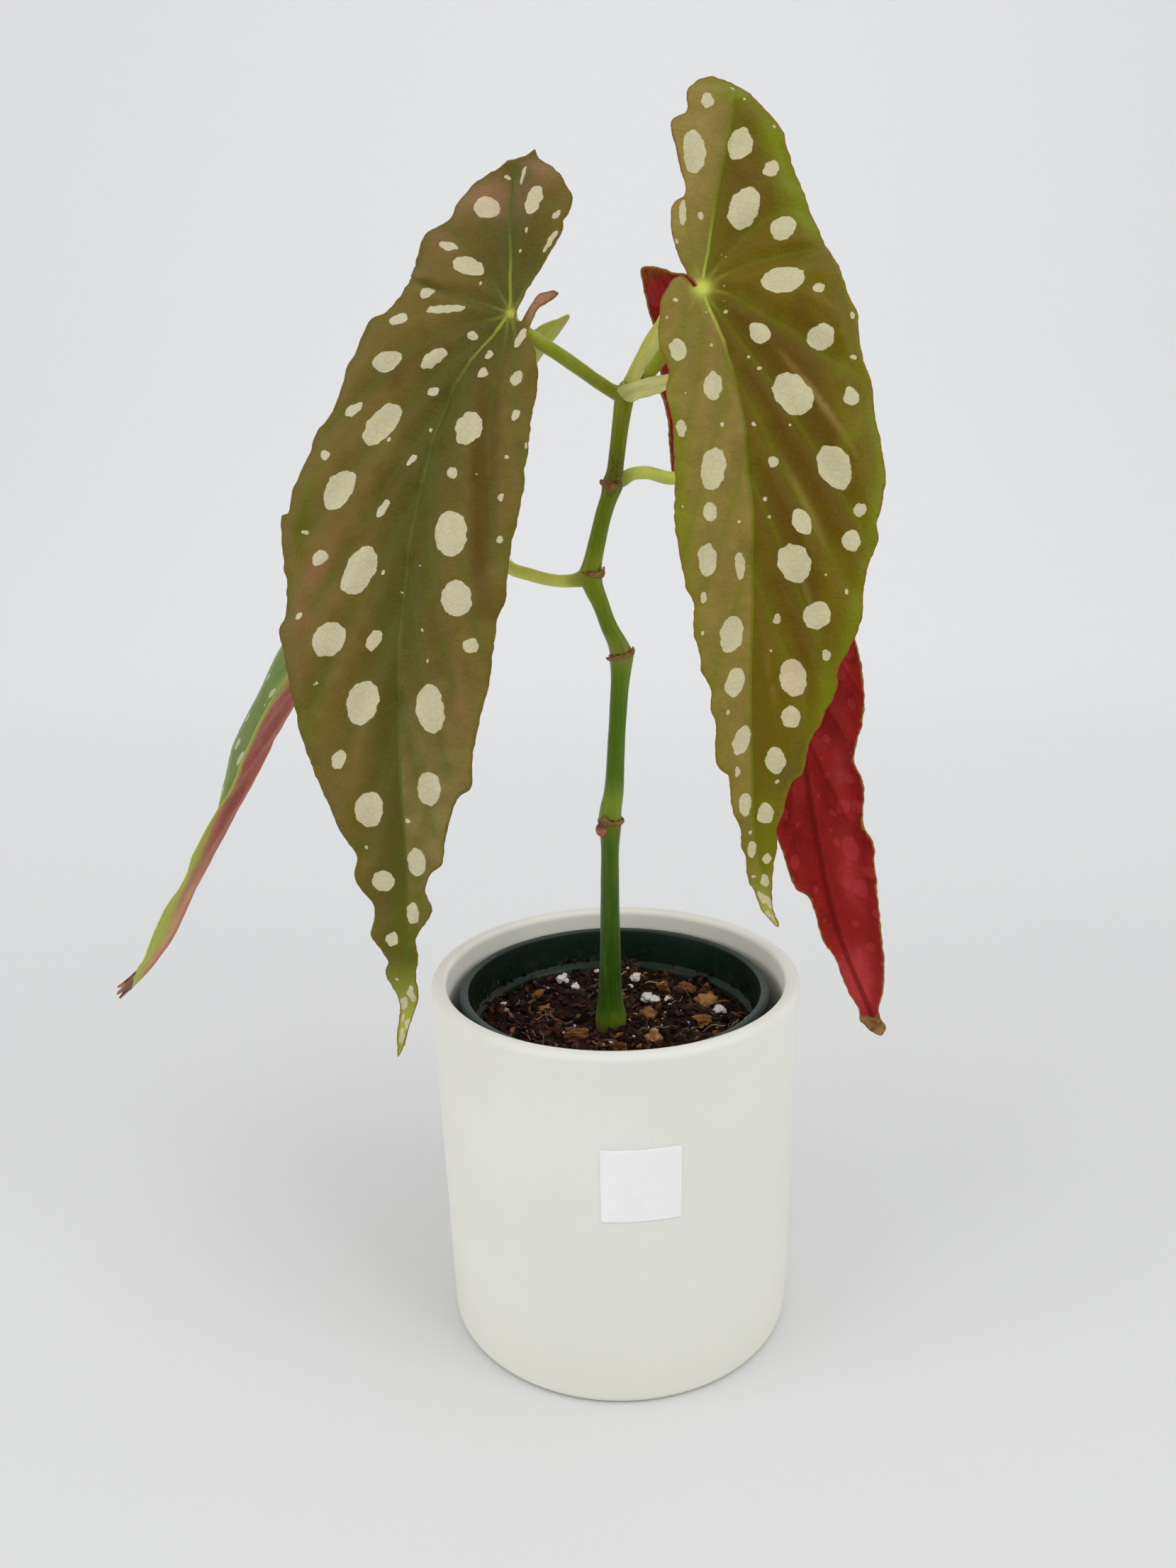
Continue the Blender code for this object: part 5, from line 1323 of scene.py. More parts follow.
RIGHT_SPOTS = (
    (0.75, -47.1, 1.6, 2.1, 0), (7.3, -51.4, 0.4, 0.4, 0), (10, -48.1, 0.4, 0.4, 0),
    (-1.6, -34.2, 2.8, 5.3, -12), (10.1, -37, 3.1, 4.3, 0), (18, -41.6, 0.5, 0.5, 0),
    (18.4, -31, 1.8, 2.6, 20), (12.2, -19.6, 3.7, 6.2, 18), (22.3, -13.9, 3.2, 4.4, 15),
    (-3.5, -19.3, 1, 3.2, 0), (1.1, -17.8, 0.6, 1, 0, 1), (-5.1, -12.5, 0.4, 0.7, 0),
    (6.2, -7.6, 0.2, 0.2, 0), (7.4, -6.7, 0.2, 0.2, 0), (20.1, 5.7, 4.6, 5.6, -60),
    (-7.8, 1.9, 0.5, 0.5, 0), (-11.1, 4.8, 0.4, 0.5, 0), (-0.9, 5.9, 0.25, 0.25, 0),
    (5.4, 1.7, 0.2, 0.2, 0), (4, 6, 0.2, 0.2, 0), (4, 8.5, 0.5, 0.5, 0), (27.8, 12.1, 1.6, 1.2, 0),
    (-11.4, 13.1, 2.2, 3.1, 20), (9.9, 16.8, 2.3, 2.9, -30), (-2.8, 14.8, 0.5, 0.6, 0),
    (34.2, 19.2, 0.7, 0.7, 0), (5.1, 21.1, 0.5, 0.5, 0), (24.4, 21.6, 3.5, 2.1, 0),
    (7.2, 24.3, 0.6, 0.5, 0), (31.3, 26.5, 0.9, 0.5, 0), (-5.7, 25.7, 2.3, 4.1, 18),
    (-13, 26.3, 0.3, 0.3, 0), (14, 32.1, 4.2, 5.6, -35), (28.7, 34.8, 2.1, 1.9, -30),
    (-15.8, 35.9, 1.1, 2.4, 0), (-4.8, 35.9, 0.6, 0.8, 0), (2.8, 37.5, 0.5, 0.4, 0),
    (12.2, 39.3, 0.5, 0.4, 0), (7, 47, 1.3, 1.5, 0), (-8.8, 47.1, 3.1, 5.7, 12),
    (22.4, 50.3, 3.9, 5.6, -28), (4.3, 56.3, 0.5, 0.7, 0), (-17.5, 56.6, 0.2, 0.4, 0),
    (-10.6, 58.8, 1.7, 2.6, 0), (12.9, 63.2, 2.4, 3.4, -15), (28.1, 60.9, 1.5, 1.4, 0),
    (25.3, 68.6, 2.4, 2.5, 0), (-11.7, 71.5, 2.4, 4.1, 0), (-3.4, 73.3, 1.4, 3.5, 0),
    (-2.9, 61.9, 0.4, 0.4, 0), (4.7, 61, 0.5, 0.3, 0), (10.6, 73.5, 3.9, 4.9, -28),
    (18.4, 77, 0.4, 0.3, 0), (23.9, 81.5, 0.6, 0.7, 0), (-12.9, 81.4, 0.9, 1.5, 0),
    (16, 87.1, 3.4, 3.3, -20), (-5.8, 91.2, 3, 4.8, 12), (6, 87.6, 1, 1.2, 0, 1),
    (-13.3, 90.9, 0.4, 0.5, 0), (18.3, 97.3, 1.1, 1.4, 0), (4, 95.7, 0.3, 0.4, 0),
    (9.7, 103, 3.4, 4.9, -5, 1), (-5.2, 103.8, 2.3, 3.8, 20), (8.8, 113.2, 2.4, 2.9, -15, 1),
    (-7.4, 111.5, 0.4, 0.6, 0), (-4, 118.8, 2, 4, 20), (4.4, 124.2, 2.5, 3.5, 0),
    (-5.5, 126.5, 0.7, 1.3, 0), (4.7, 130, 0.6, 0.5, 0), (-3.9, 135.4, 1.5, 3.2, 8),
    (1.3, 138.1, 2, 2.7, 0), (-2.7, 143, 0.4, 0.5, 0), (-2.7, 147.7, 1.1, 2.4, 10),
    (0.9, 150.5, 1.1, 1.5, 0), (-3.1, 154.4, 0.4, 0.4, 0), (-0.4, 156.3, 1, 1.9, 0),
    (-2, 160.7, 0.8, 2, -15), (-0.5, 162.5, 0.7, 2, -15), (-1.5, 165.5, 0.6, 1.4, 0),
    (-0.5, 167, 0.5, 1.2, 0),
)
RIGHT_EASE = (
    (-54, -2.7, -2.6, 1.02), (0, 0.4, -0.2, 0.99), (50, 2.1, 1.7, 0.975), (110, 0, 0.2, 0.985),
    (150, 0, 0, 1.0), (170, 1.4, 1.4, 1.0),
)
grow_leaf(
    "right_front_blade", "front_right", 2, eased(RIGHT_OUTLINE, RIGHT_EASE),
    RIGHT_MIDRIB, RIGHT_VEINS, eased(RIGHT_SPOTS, RIGHT_EASE),
    greens=((37.5, 20, 3.6, 22, 0, 0.9), (35, 50, 3, 16, -6, 0.7), (33, 68, 4, 12, 0, 0.9),
            (-18, 24, 2.2, 26, 0, 0.4), (-19, 74, 3, 34, 0, 0.55), (26, 90, 4, 18, 12, 0.8),
            (18, 112, 3.5, 14, 0, 0.7), (2, 150, 6, 24, 0, 0.6), (29, -24, 6, 17, -22, 1.3),
            (20, -42, 5, 8, -40, 0.8), (9, -54, 8, 5, 0, 0.9), (-5, -16, 2.5, 12, 0, 0.4),
            (24, 6, 8, 3, -50, 0.4), (27, 44, 8, 2.6, -50, 0.45), (28, 28, 6, 2, -50, 0.35),
            (-10, 12, 2, 9, 30, 0.35), (-9, 52, 1.8, 12, 16, 0.3), (-17, 50, 4, 60, 0, 0.3)),
    browns=((11, 26, 8, 26, -22, 1.0), (17, 50, 6, 24, -20, 0.9), (8, 66, 6, 24, -14, 0.85),
            (13, 90, 5, 20, -12, 0.6), (22, 20, 8, 14, 0, 0.5), (13, -28, 8, 14, 0, 0.6)),
    # painted sheen: these blush patches, on the lobe and in thin bands along the veins, stand in for
    # light on the satin surface
    blush_and_sheen_patches=((-3, -40, 6, 14, 0, 0.9), (-4, -22, 4, 10, 0, 0.9), (20, 36, 1.2, 17, -28, 0.6),
             (14, 60, 1.2, 15, -22, 0.6), (14, 84, 1.2, 12, -16, 0.5), (4, 104, 1.4, 12, -8, 0.4),
             (-7, 26, 1.6, 12, 22, 0.45), (-12, 60, 1.8, 12, 14, 0.45), (-6, 84, 1.6, 12, 10, 0.4),
             (26, 14, 1.6, 9, -42, 0.3)),
    finishes=(
        blade_top(
            "right_blade_top", near=paint(100, 82, 2), outer=paint(106, 88, 0),
            left=paint(150, 130, 68), green=paint(116, 130, 0), brown=paint(88, 62, 0),
            blush_and_sheen=paint(156, 132, 72), spot=paint(208, 200, 162), spot_pink=paint(212, 188, 156),
            star=paint(196, 206, 92), rib=paint(106, 112, 14), margin=paint(146, 72, 46),
            dry=paint(176, 168, 110), pale_sheen_share=0.75, net_share=0.35,
        ),
        blade_under(
            "right_blade_under", body=paint(150, 42, 36), deep=paint(118, 26, 26),
            light=paint(180, 90, 66), vein=paint(120, 26, 28), margin=paint(132, 110, 40),
            dry=paint(150, 120, 70),
        ),
    ),
    pale_from=(150, 176), green_edge=1.6, joint=2.4,
)

SPOT_ROW = 13.0


def sown_spots(outline, seed, largest=4.2):
    """Spots strewn over an outline in rows, larger and closer along the middle of each half, and
    none running into another."""
    chance, spots = random.Random(seed), []

    def add(x, s, a, b, tilt):
        gaps = [math.hypot((x - at[0]) / (a + at[2]), (s - at[1]) / (b + at[3])) for at in spots]
        if min(gaps, default=2.0) > 1.1:
            spots.append((x, s, a, b, tilt))

    drawing = np.array(outline, float)
    for s in np.arange(drawing[:, 1].min() + 7, drawing[:, 1].max() - 16, SPOT_ROW):
        band = drawing[np.abs(drawing[:, 1] - s) < 14]
        for reach, size in ((0.32, 0.5), (0.62, 1.0), (0.85, 0.6)):
            for edge in (band[:, 0].min(), band[:, 0].max()):
                if abs(edge) < 5 or chance.random() < 0.18:
                    continue
                x = edge * (reach + chance.uniform(-0.07, 0.07))
                a = size * min(1, abs(edge) / 24) * chance.uniform(0.5, 1) * largest
                b = a * chance.uniform(1.1, 1.7)
                tilt = chance.uniform(5, 35) * (1 if edge < 0 else -1)
                add(x, s + chance.uniform(-3, 3), a, b, tilt)
            if chance.random() < 0.7:
                add(band[:, 0].max() * chance.uniform(-0.8, 0.8), s + 6, 0.5, 0.6, 0)
    return spots


# Back right leaf, seen from below: deep red, with a thin green margin and a dry tip
BACK_RIGHT_OUTLINE = (
    (-1, -1), (-3.1, -8), (-5.6, -16), (-6.6, -23), (-5, -29), (-1.5, -33.5), (3, -37.5),
    (7, -41.5), (10.2, -42.6), (12.6, -37), (14.4, -30.5), (16.6, -23), (19.4, -15), (22, -9),
    (22.8, 0), (25.9, 15.5), (26.5, 24.5), (25.3, 39), (24.5, 62), (21.9, 87), (19.9, 112),
    (17.3, 129.5), (16.3, 145), (13.6, 152), (12.2, 161), (11, 169.5), (7.1, 174), (6.4, 189.5),
    (4.6, 196), (4.8, 208), (3.7, 214.5), (4.5, 219.5), (0.2, 226.5), (-2.5, 224.5), (-2, 219.5),
    (-5.4, 214), (-9.6, 206), (-13.4, 193), (-15.7, 180.5), (-17.6, 166.5), (-18.4, 159),
    (-16.4, 153), (-18.6, 140.5), (-18.4, 135.5), (-16.6, 129.5), (-20.9, 118), (-22.9, 110),
    (-23.5, 98.5), (-22.3, 87), (-21.9, 70), (-23.8, 51.5), (-25.2, 35), (-25.8, 16.5),
    (-24.5, 5.1), (-19.9, -2.5), (-12.2, -6), (-5.6, -5), (-2, -1),
)
grow_leaf(
    "right_back_blade", "back_right", 3, BACK_RIGHT_OUTLINE, LEFT_MIDRIB, LEFT_VEINS,
    sown_spots(BACK_RIGHT_OUTLINE, 61),
    greens=((8, -40, 8, 4, 0, 0.3),),
    browns=((-4, 60, 5, 60, 0, 0.5), (-12, 110, 5, 30, 12, 0.5), (8, 130, 5, 30, -10, 0.4)),
    blush_and_sheen_patches=((14, 30, 6, 26, 0, 0.4), (-14, 60, 5, 24, 0, 0.4), (10, 110, 5, 26, -10, 0.45),
             (3, -28, 9, 14, 0, 0.4), (0, 206, 8, 14, 0, 0.8), (-8, 168, 5, 18, 0, 0.5),
             (9, 178, 3, 10, 0, 0.5), (-12, 130, 4, 12, 0, 0.4)),
    finishes=(
        blade_top(
            "back_right_top", near=paint(92, 86, 26), outer=paint(112, 96, 24),
            left=paint(120, 106, 46), green=paint(116, 120, 14), brown=paint(98, 74, 12),
            blush_and_sheen=paint(140, 112, 62), spot=paint(216, 208, 182), spot_pink=paint(220, 194, 168),
            star=paint(176, 190, 74), rib=paint(112, 120, 30), margin=paint(140, 80, 50),
            dry=paint(140, 96, 50),
        ),
        blade_under(
            "back_right_under", body=paint(148, 20, 28), deep=paint(114, 4, 14),
            light=paint(188, 60, 66), vein=paint(102, 2, 12), margin=paint(152, 126, 58),
            dry=paint(160, 122, 70), spot_share=0.35,
        ),
    ),
    dry_from=(218.5, 221.5), green_edge=0.6,
)

# Back left leaf, folded, seen from its edge: green and spotted above, pink below
BACK_LEFT_OUTLINE = (
    (-1, -1), (-4, -8), (-8, -18), (-11, -28), (-10.5, -39), (-6.5, -48), (-1, -54.6), (5, -51),
    (11, -43), (15, -34), (20.5, -16), (22, 0), (24, 18), (25.6, 42), (27.5, 54), (26, 68),
    (26, 80), (27.5, 92), (23.5, 104), (18.5, 120), (21.4, 136), (20.6, 145), (16.4, 155.5),
    (18.8, 166), (17.4, 177), (14, 188), (12.6, 194), (14.6, 198.4), (11.2, 197.6),
    (9.8, 201), (6.6, 199.4), (3.6, 202.8), (1.2, 199), (-1.2, 199.6), (-1.8, 193), (-2, 180),
    (-2.8, 171), (-5, 160), (-9, 150), (-15, 140), (-23, 131), (-31, 122), (-32, 110),
    (-33, 96), (-35, 85), (-33.5, 72), (-35, 60), (-33, 46), (-33.5, 34), (-30, 12), (-26, 3),
    (-20, -3.5), (-12, -6), (-5, -4.5), (-1.8, -0.8),
)
back_left_midrib = [(-x, s) for x, s in LEFT_MIDRIB]
back_left_veins = [[(-x, s) for x, s in vein] for vein in LEFT_VEINS]
grow_leaf(
    "left_back_blade", "back_left", 4, BACK_LEFT_OUTLINE,
    back_left_midrib, back_left_veins, sown_spots(BACK_LEFT_OUTLINE, 67, 2.6),
    greens=((25, 100, 4, 70, 0, 0.6), (18, 150, 5, 22, 0, 0.8), (14, 182, 7.5, 24, 0, 1.1),
            (3, -44, 14, 13, 0, 1.1), (2, 197, 9, 6, 0, 0.7)),
    browns=((14, 60, 5, 50, 0, 0.7), (9, 120, 3, 34, 0, 0.7)),
    blush_and_sheen_patches=((3, 60, 4, 70, 0, 0.3), (5, 176, 5, 26, 0, 0.9), (-16, -20, 10, 12, 0, 0.3)),
    finishes=(
        blade_top(
            "back_left_top", near=paint(76, 104, 34), outer=paint(94, 118, 44),
            left=paint(102, 122, 60), green=paint(146, 164, 40), brown=paint(84, 102, 30),
            blush_and_sheen=paint(146, 138, 66), spot=paint(172, 186, 142), spot_pink=paint(184, 176, 138),
            star=paint(166, 184, 74), rib=paint(140, 156, 76), margin=paint(140, 158, 70),
            dry=paint(188, 138, 92),
        ),
        blade_under(
            "back_left_under", body=paint(184, 98, 82), deep=paint(150, 62, 44),
            light=paint(208, 152, 112), vein=paint(196, 108, 92), margin=paint(176, 186, 70),
            dry=paint(188, 138, 92), spot_share=0.12,
        ),
    ),
    dry_from=(198, 201), green_edge=4.5, ripple=0.15, relief=0.4,
)

# ---- Petioles ----------------------------------------------------------------------------------
# Fleshy leaf stalks, yellow green and slightly flushed, swollen where they leave the cane. Each
# runs from its node to the back of its blade, and its end is sunk into the blade.

PETIOLE_RADIUS = 1.95
PETIOLE_FOOT = 3.335
THIN_PETIOLE_FOOT = 2.6
PETIOLE_NECK = 1.7
PETIOLE_RUN = 4.5
PETIOLES = {
    "front_left": ((6.0, 0.0, 297.9), (2.8, -0.8, 298.8), (-1.6, -2.1, 301.3), (-7.3, -6.5, 305.0),
                   (-13.4, -11.5, 308.8), (-19.0, -15.0, 312.0)),
    "front_right": ((7.4, -0.4, 300.2), (10.2, -1.7, 301.9), (13.5, -4.4, 304.7),
                    (17.2, -8.6, 309.3), (21.8, -16.6, 315.8)),
    "back_right": ((1.4, 0.2, 273.6), (4.4, 0.7, 274.2), (6.8, 1.8, 275.6), (11.2, 4.6, 276.2),
                   (20.2, 9.5, 274.4), (27.0, 11.6, 276.4), (32.8, 12.2, 281.6),
                   (36.6, 11.2, 289.4), (39.2, 11.2, 296.2)),
    "back_left": ((-6.2, 0.1, 246.2), (-9.5, 0.8, 245.3), (-13.5, 2.6, 244.9), (-24.1, 8.0, 246.6),
                  (-30.8, 11.3, 248.9), (-34.8, 13.6, 255.4), (-36.9, 15.6, 264.4)),
}

stalk, graph, shader = new_material(
    "petiole_skin", 0.38, Specular_IOR_Level=0.4, Specular_Tint=WAX, Sheen_Weight=0.12
)
place = graph.place()
tone = graph.group(mottle, Vector=place, **{"Cloud Scale": 140.0, "Grain Scale": 2400.0})
reach = graph.value("reach")
# painted light and shade: stalks at the front are coloured a deeper green and those further back a paler
# green, for how light falls on them
depth = graph.node("SeparateXYZ", {0: place}).outputs[1]
colour = graph.mix(graph.ramp(depth, -0.003, 0.001), paint(130, 148, 6), paint(212, 230, 104))
colour = graph.mix(graph.math("MULTIPLY", tone.outputs["Cloud"], 0.3), colour, paint(192, 198, 80))
hairs = graph.noise(graph.stretched(place, (1.0, 1.0, 0.25)), 1500.0, 3.0, 0.7)
colour = graph.mix(graph.ramp(hairs, 0.5, 0.7, 0.0, 0.22), colour, paint(136, 150, 34))
flush = graph.ramp(graph.noise(place, 90.0, 2.0), 0.5, 0.75, 0.0, 0.1)
colour = graph.mix(flush, colour, paint(170, 132, 84))
flecks = graph.ramp(graph.cells(place, 700.0), 0.14, 0.07, 0.0, 0.6)
colour = graph.mix(flecks, colour, paint(188, 188, 130))
colour = graph.mix(graph.ramp(reach, 9.0, 2.0, 0.0, 0.6), colour, paint(122, 142, 30))
graph.feed(shader["Base Color"], colour)
graph.feed(shader["Roughness"], graph.ramp(tone.outputs["Grain"], 0.2, 0.8, 0.32, 0.48))
graph.feed(shader["Normal"], graph.bump(hairs, 0.00012, 0.7))

for where, route in PETIOLES.items():
    joint, behind = bend(np.zeros(2), np.zeros(2), np.array([0.0, -1.0]), **SURFACES[where])
    away = behind - joint
    points = [*route, tuple(joint + away * (0.7 + PETIOLE_RUN)), tuple(joint + away * 0.1)]
    foot = THIN_PETIOLE_FOOT if where == "back_right" else PETIOLE_FOOT
    radii = [foot, PETIOLE_RADIUS + 0.2] + [PETIOLE_RADIUS] * (len(route) - 2)
    radii += [PETIOLE_NECK, PETIOLE_NECK]
    mesh = bmesh.new()
    stations = [(*point, radius) for point, radius in zip(points, radii)]
    stem(mesh, stations, sides=28, spacing=0.8, uneven=0.05)
    bmesh.ops.recalc_face_normals(mesh, faces=mesh.faces)
    finished(f"stalk_{where}", mesh, [stalk], [f"petiole_{where}"], sharp=60)

# ---- Stipules ----------------------------------------------------------------------------------
# Two papery bracts at the top node, one standing and one lying over. Ribbed, pale and thin, and
# made as small blades on surfaces of their own.

STIPULE_THICKNESS = 0.3

bract, graph, shader = new_material("stipule_skin", 0.5, Specular_IOR_Level=0.3)
flat = graph.node("Attribute", attribute_name="flat").outputs["Vector"]
ribs = graph.noise(graph.stretched(flat, (1.0, 0.06, 1.0)), 2.6, 3.0)
edge = graph.value("edge")
drawn = graph.node("SeparateXYZ", {0: flat}).outputs
lying = graph.ramp(drawn[2], 5.2, 5.8)
fresh = graph.mix(graph.ramp(ribs, 0.3, 0.7), paint(188, 198, 66), paint(206, 212, 104))
pale = graph.mix(graph.ramp(ribs, 0.3, 0.7), paint(220, 226, 122), paint(234, 236, 158))
colour = graph.mix(lying, fresh, pale)
colour = graph.mix(graph.ramp(drawn[0], -1.0, 2.4, 0.0, 0.6), colour, paint(222, 224, 150))
colour = graph.mix(graph.ramp(drawn[1], 3.0, -2.0, 0.0, 0.5), colour, paint(150, 168, 50))
colour = graph.mix(graph.ramp(edge, 0.35, 0.0, 0.0, 0.7), colour, paint(214, 212, 160))
graph.feed(shader["Base Color"], colour)
graph.feed(shader["Roughness"], graph.ramp(ribs, 0.3, 0.7, 0.42, 0.6))
graph.feed(shader["Normal"], graph.bump(ribs, 0.00012, 0.6))


def grow_stipule(name, node, seed, outline, ruffle, crease=0.0, **surface):
    """One bract, ribbed lengthways, with a ruffled margin and a wavy crease along it."""
    ring = closed_curve(outline, spacing=0.4)
    mesh = cut_finely(ring, cut=0.4)
    x, s = np.array([v.co[:2] for v in mesh.verts]).T
    edge = line_distance(x, s, np.vstack([ring, ring[:1]]))
    lift = 0.03 * np.sin(x * 3.4) * smooth(edge, 0, 0.8)
    lift += crease * smooth(x - 0.5 * np.sin(0.55 * s), -0.5, 0.4)
    lift += ruffle * waves(x * 0.5, s, 2.6, seed) * (1 - smooth(edge, 0, 2.4))
    for vertex, point in zip(mesh.verts, bend(x, s, lift, **surface)):
        vertex.co = point
    piece = finished(name, mesh, [bract], [node])
    keep_values(piece, "edge", edge.astype(np.float32))
    keep_vectors(piece, "flat", x, s, np.full(len(x), float(seed)))
    thicken(piece, STIPULE_THICKNESS)


grow_stipule(
    "bract_standing", "stipule_upper", 5,
    ((-1.2, -3), (-1.9, 0), (-2.0, 3.9), (-2.3, 8.6), (-2.4, 13.2), (-1.9, 17.3), (-0.8, 20.5),
     (0, 22), (1.2, 20), (2.2, 17), (2.8, 13), (2.7, 8.6), (2.5, 3.9), (2.2, 0.5), (1.4, -2.6),
     (0, -3.2)),
    ruffle=0.15, crease=-0.35,
    spine=((5.0, -2.2, 297.0), (6.6, -3.1, 300.4), (8.4, -3.9, 303.8), (10.9, -3.5, 307.8),
           (13.2, -3.2, 311.8), (15.2, -3.0, 315.4), (16.6, -3.0, 320.0)),
    face=((160, 0), (160, 0)), folds=(6, 6), curl=-0.02,
)
grow_stipule(
    "bract_lying", "stipule_lower", 6,
    ((1.8, -3.3), (2.3, -0.5), (2.5, 3), (2.6, 7), (2.3, 10.5), (1.5, 14), (0, 17.4), (-1.3, 14),
     (-2.2, 10.5), (-2.5, 7), (-2.5, 3.5), (-2.9, 0.4), (-1.9, -1.5), (0, -2.6)),
    ruffle=0.3, crease=0.9,
    spine=((4.6, -3.0, 297.6), (6.8, -4.1, 298.3), (10.3, -5.2, 299.0), (14.0, -5.9, 299.8),
           (18.2, -6.9, 300.7), (23.0, -8.0, 301.7)),
    face=((12, 22), (12, 34)), folds=(4, 4), curl=0.01,
)

# ---- Dry collars and bud -----------------------------------------------------------------------
# Torn brown remains of old stipules round four nodes, and one dormant bud. The collars are thin
# strips wrapped on the cane with a ragged upper edge; the bud is a small pointed oval.

COLLARS = {  # centre, lean, inner radius, first and swept angle, height, and one flap
    "dry_collar_1": ((-0.7, 0, 170.0), 6, 3.9, 205, 235, 1.3, (0.13, 0.11, 1.2, 0.7)),
    "dry_collar_2": ((3.4, 0, 222.4), -14, 3.9, 150, 290, 1.1, (0.66, 0.08, 1.2, 0.1)),
    "dry_collar_3": ((-5.3, 0, 247.2), 8, 3.65, 235, 270, 1.3, (0.36, 0.07, 2.2, 0.3)),
    "dry_collar_4": ((1.6, 0, 272.8), 14, 3.3, 100, 205, 1.3, (0.80, 0.09, 0.2, 2.6)),
}
COLLAR_THICKNESS = 0.14
BUD_PLACE = (-3.5, -2.9, 167.8)
BUD_SIZE = (1.9, 1.5, 2.3)

husk, graph, shader = new_material("dry_husk", 0.8)
place = graph.place()
tone = graph.group(mottle, Vector=place, **{"Cloud Scale": 420.0, "Grain Scale": 2600.0})
fibres = graph.noise(graph.stretched(place, (1.0, 1.0, 0.2)), 1800.0, 3.0)
colour = graph.mix(tone.outputs["Cloud"], paint(118, 80, 32), paint(168, 124, 62))
colour = graph.mix(graph.ramp(graph.value("torn"), 0.5, 0.1, 0.0, 0.7), colour, paint(134, 128, 50))
colour = graph.mix(graph.ramp(fibres, 0.48, 0.68, 0.0, 0.55), colour, paint(84, 48, 18))
colour = graph.mix(graph.ramp(graph.value("torn"), 0.8, 1.0, 0.0, 0.6), colour, paint(92, 66, 40))
graph.feed(shader["Base Color"], colour)
graph.feed(shader["Roughness"], graph.ramp(tone.outputs["Grain"], 0.2, 0.8, 0.62, 0.9))
graph.feed(shader["Normal"], graph.bump(fibres, 0.0002, 0.9))

for number, (node, numbers) in enumerate(COLLARS.items(), 1):
    centre, lean, inner, first, sweep, tall, (flap, wide, flap_up, flap_down) = numbers
    mesh = bmesh.new()
    bmesh.ops.create_grid(mesh, x_segments=110, y_segments=8, size=0.5)
    torn_of = mesh.verts.layers.float.new("torn")
    pose = Matrix.Translation(centre) @ Matrix.Rotation(math.radians(lean), 4, "Y")
    for vertex in mesh.verts:
        across, up = vertex.co.x + 0.5, vertex.co.y + 0.5
        turn = math.radians(first + sweep * across)
        ends = min(1.0, 8 * min(across, 1 - across))
        ragged = 0.6 + 0.5 * noise.fractal(Vector((across * 9, number * 5, 0)), 0.9, 2.2, 4)
        bell = math.exp(-(((across - flap) / wide) ** 2))
        top = (tall * ragged + flap_up * bell) * ends
        bottom = (-0.7 - flap_down * bell * (1 + noise.noise(Vector((across * 30, number, 0))))) * ends
        height = bottom + (top - bottom) * up
        flare = 0.1 + 0.5 * math.sin(up * 2.4) + 0.4 * up * noise.noise(Vector((across * 5, number, 3)))
        crinkle = 0.12 * up * noise.noise(Vector((across * 26, up * 3, number)))
        radius = inner + flare + crinkle - 0.28 * max(0.0, -height - 0.7)
        vertex[torn_of] = up
        vertex.co = pose @ Vector((radius * math.cos(turn), radius * math.sin(turn), height))
    bmesh.ops.reverse_faces(mesh, faces=mesh.faces)
    ring = finished(f"torn_ring_{number}", mesh, [husk], [node])
    thicken(ring, COLLAR_THICKNESS)

bud_skin, graph, shader = new_material("bud_skin", 0.5)
place = graph.place()
tone = graph.group(mottle, Vector=place, **{"Cloud Scale": 500.0, "Grain Scale": 2600.0})
height = graph.node("SeparateXYZ", {0: place}).outputs[2]
colour = graph.mix(tone.outputs["Cloud"], paint(164, 96, 60), paint(188, 122, 82))
browned = graph.ramp(height, (BUD_PLACE[2] - 0.6) * MM, (BUD_PLACE[2] + 1.4) * MM)
colour = graph.mix(browned, colour, paint(98, 50, 16))
graph.feed(shader["Base Color"], colour)
graph.feed(shader["Roughness"], graph.ramp(tone.outputs["Grain"], 0.2, 0.8, 0.4, 0.65))
graph.feed(shader["Normal"], graph.bump(tone.outputs["Grain"], 0.0001, 0.8))

bud = bmesh.new()
bmesh.ops.create_uvsphere(bud, u_segments=40, v_segments=28, radius=1.0)
for vertex in bud.verts:
    up = max(0.0, vertex.co.z)
    vertex.co.x *= 1 - 0.35 * up * up
    vertex.co.y *= 1 - 0.35 * up * up
    vertex.co.z += 0.35 * up**4
    vertex.co *= 1 + 0.05 * noise.noise(vertex.co * 2)
bmesh.ops.scale(bud, vec=BUD_SIZE, verts=bud.verts)
bmesh.ops.translate(bud, vec=BUD_PLACE, verts=bud.verts)
finished("bud", bud, [bud_skin], ["dormant_bud"])

# ---- Studio ------------------------------------------------------------------------------------
# A pale seamless sweep under a large soft overhead light, with broad fills from both sides, and
# the camera a little above the leaves' middle, looking down at the pot. Lengths are in metres.

SWEEP_FRONT, SWEEP_BACK = -2.2, 0.9
SWEEP_CURVE = 0.7
SWEEP_TOP = 3.4
SWEEP_HALF = 3.0
ROOM_BEHIND, ROOM_AHEAD = 0.49, 0.63
CAMERA_PLACE = (0, -0.3582, 0.2748)
CAMERA_TURN, CAMERA_DIP, CAMERA_ROLL = 1.2, 14.54, -1.23
CAMERA_LENS, CAMERA_SENSOR = 27.02, 36.0

paper_sweep, graph, shader = new_material("sweep_paper", 0.85)
place = graph.place()
tone = graph.group(mottle, Vector=place, **{"Cloud Scale": 1.2, "Grain Scale": 240.0})
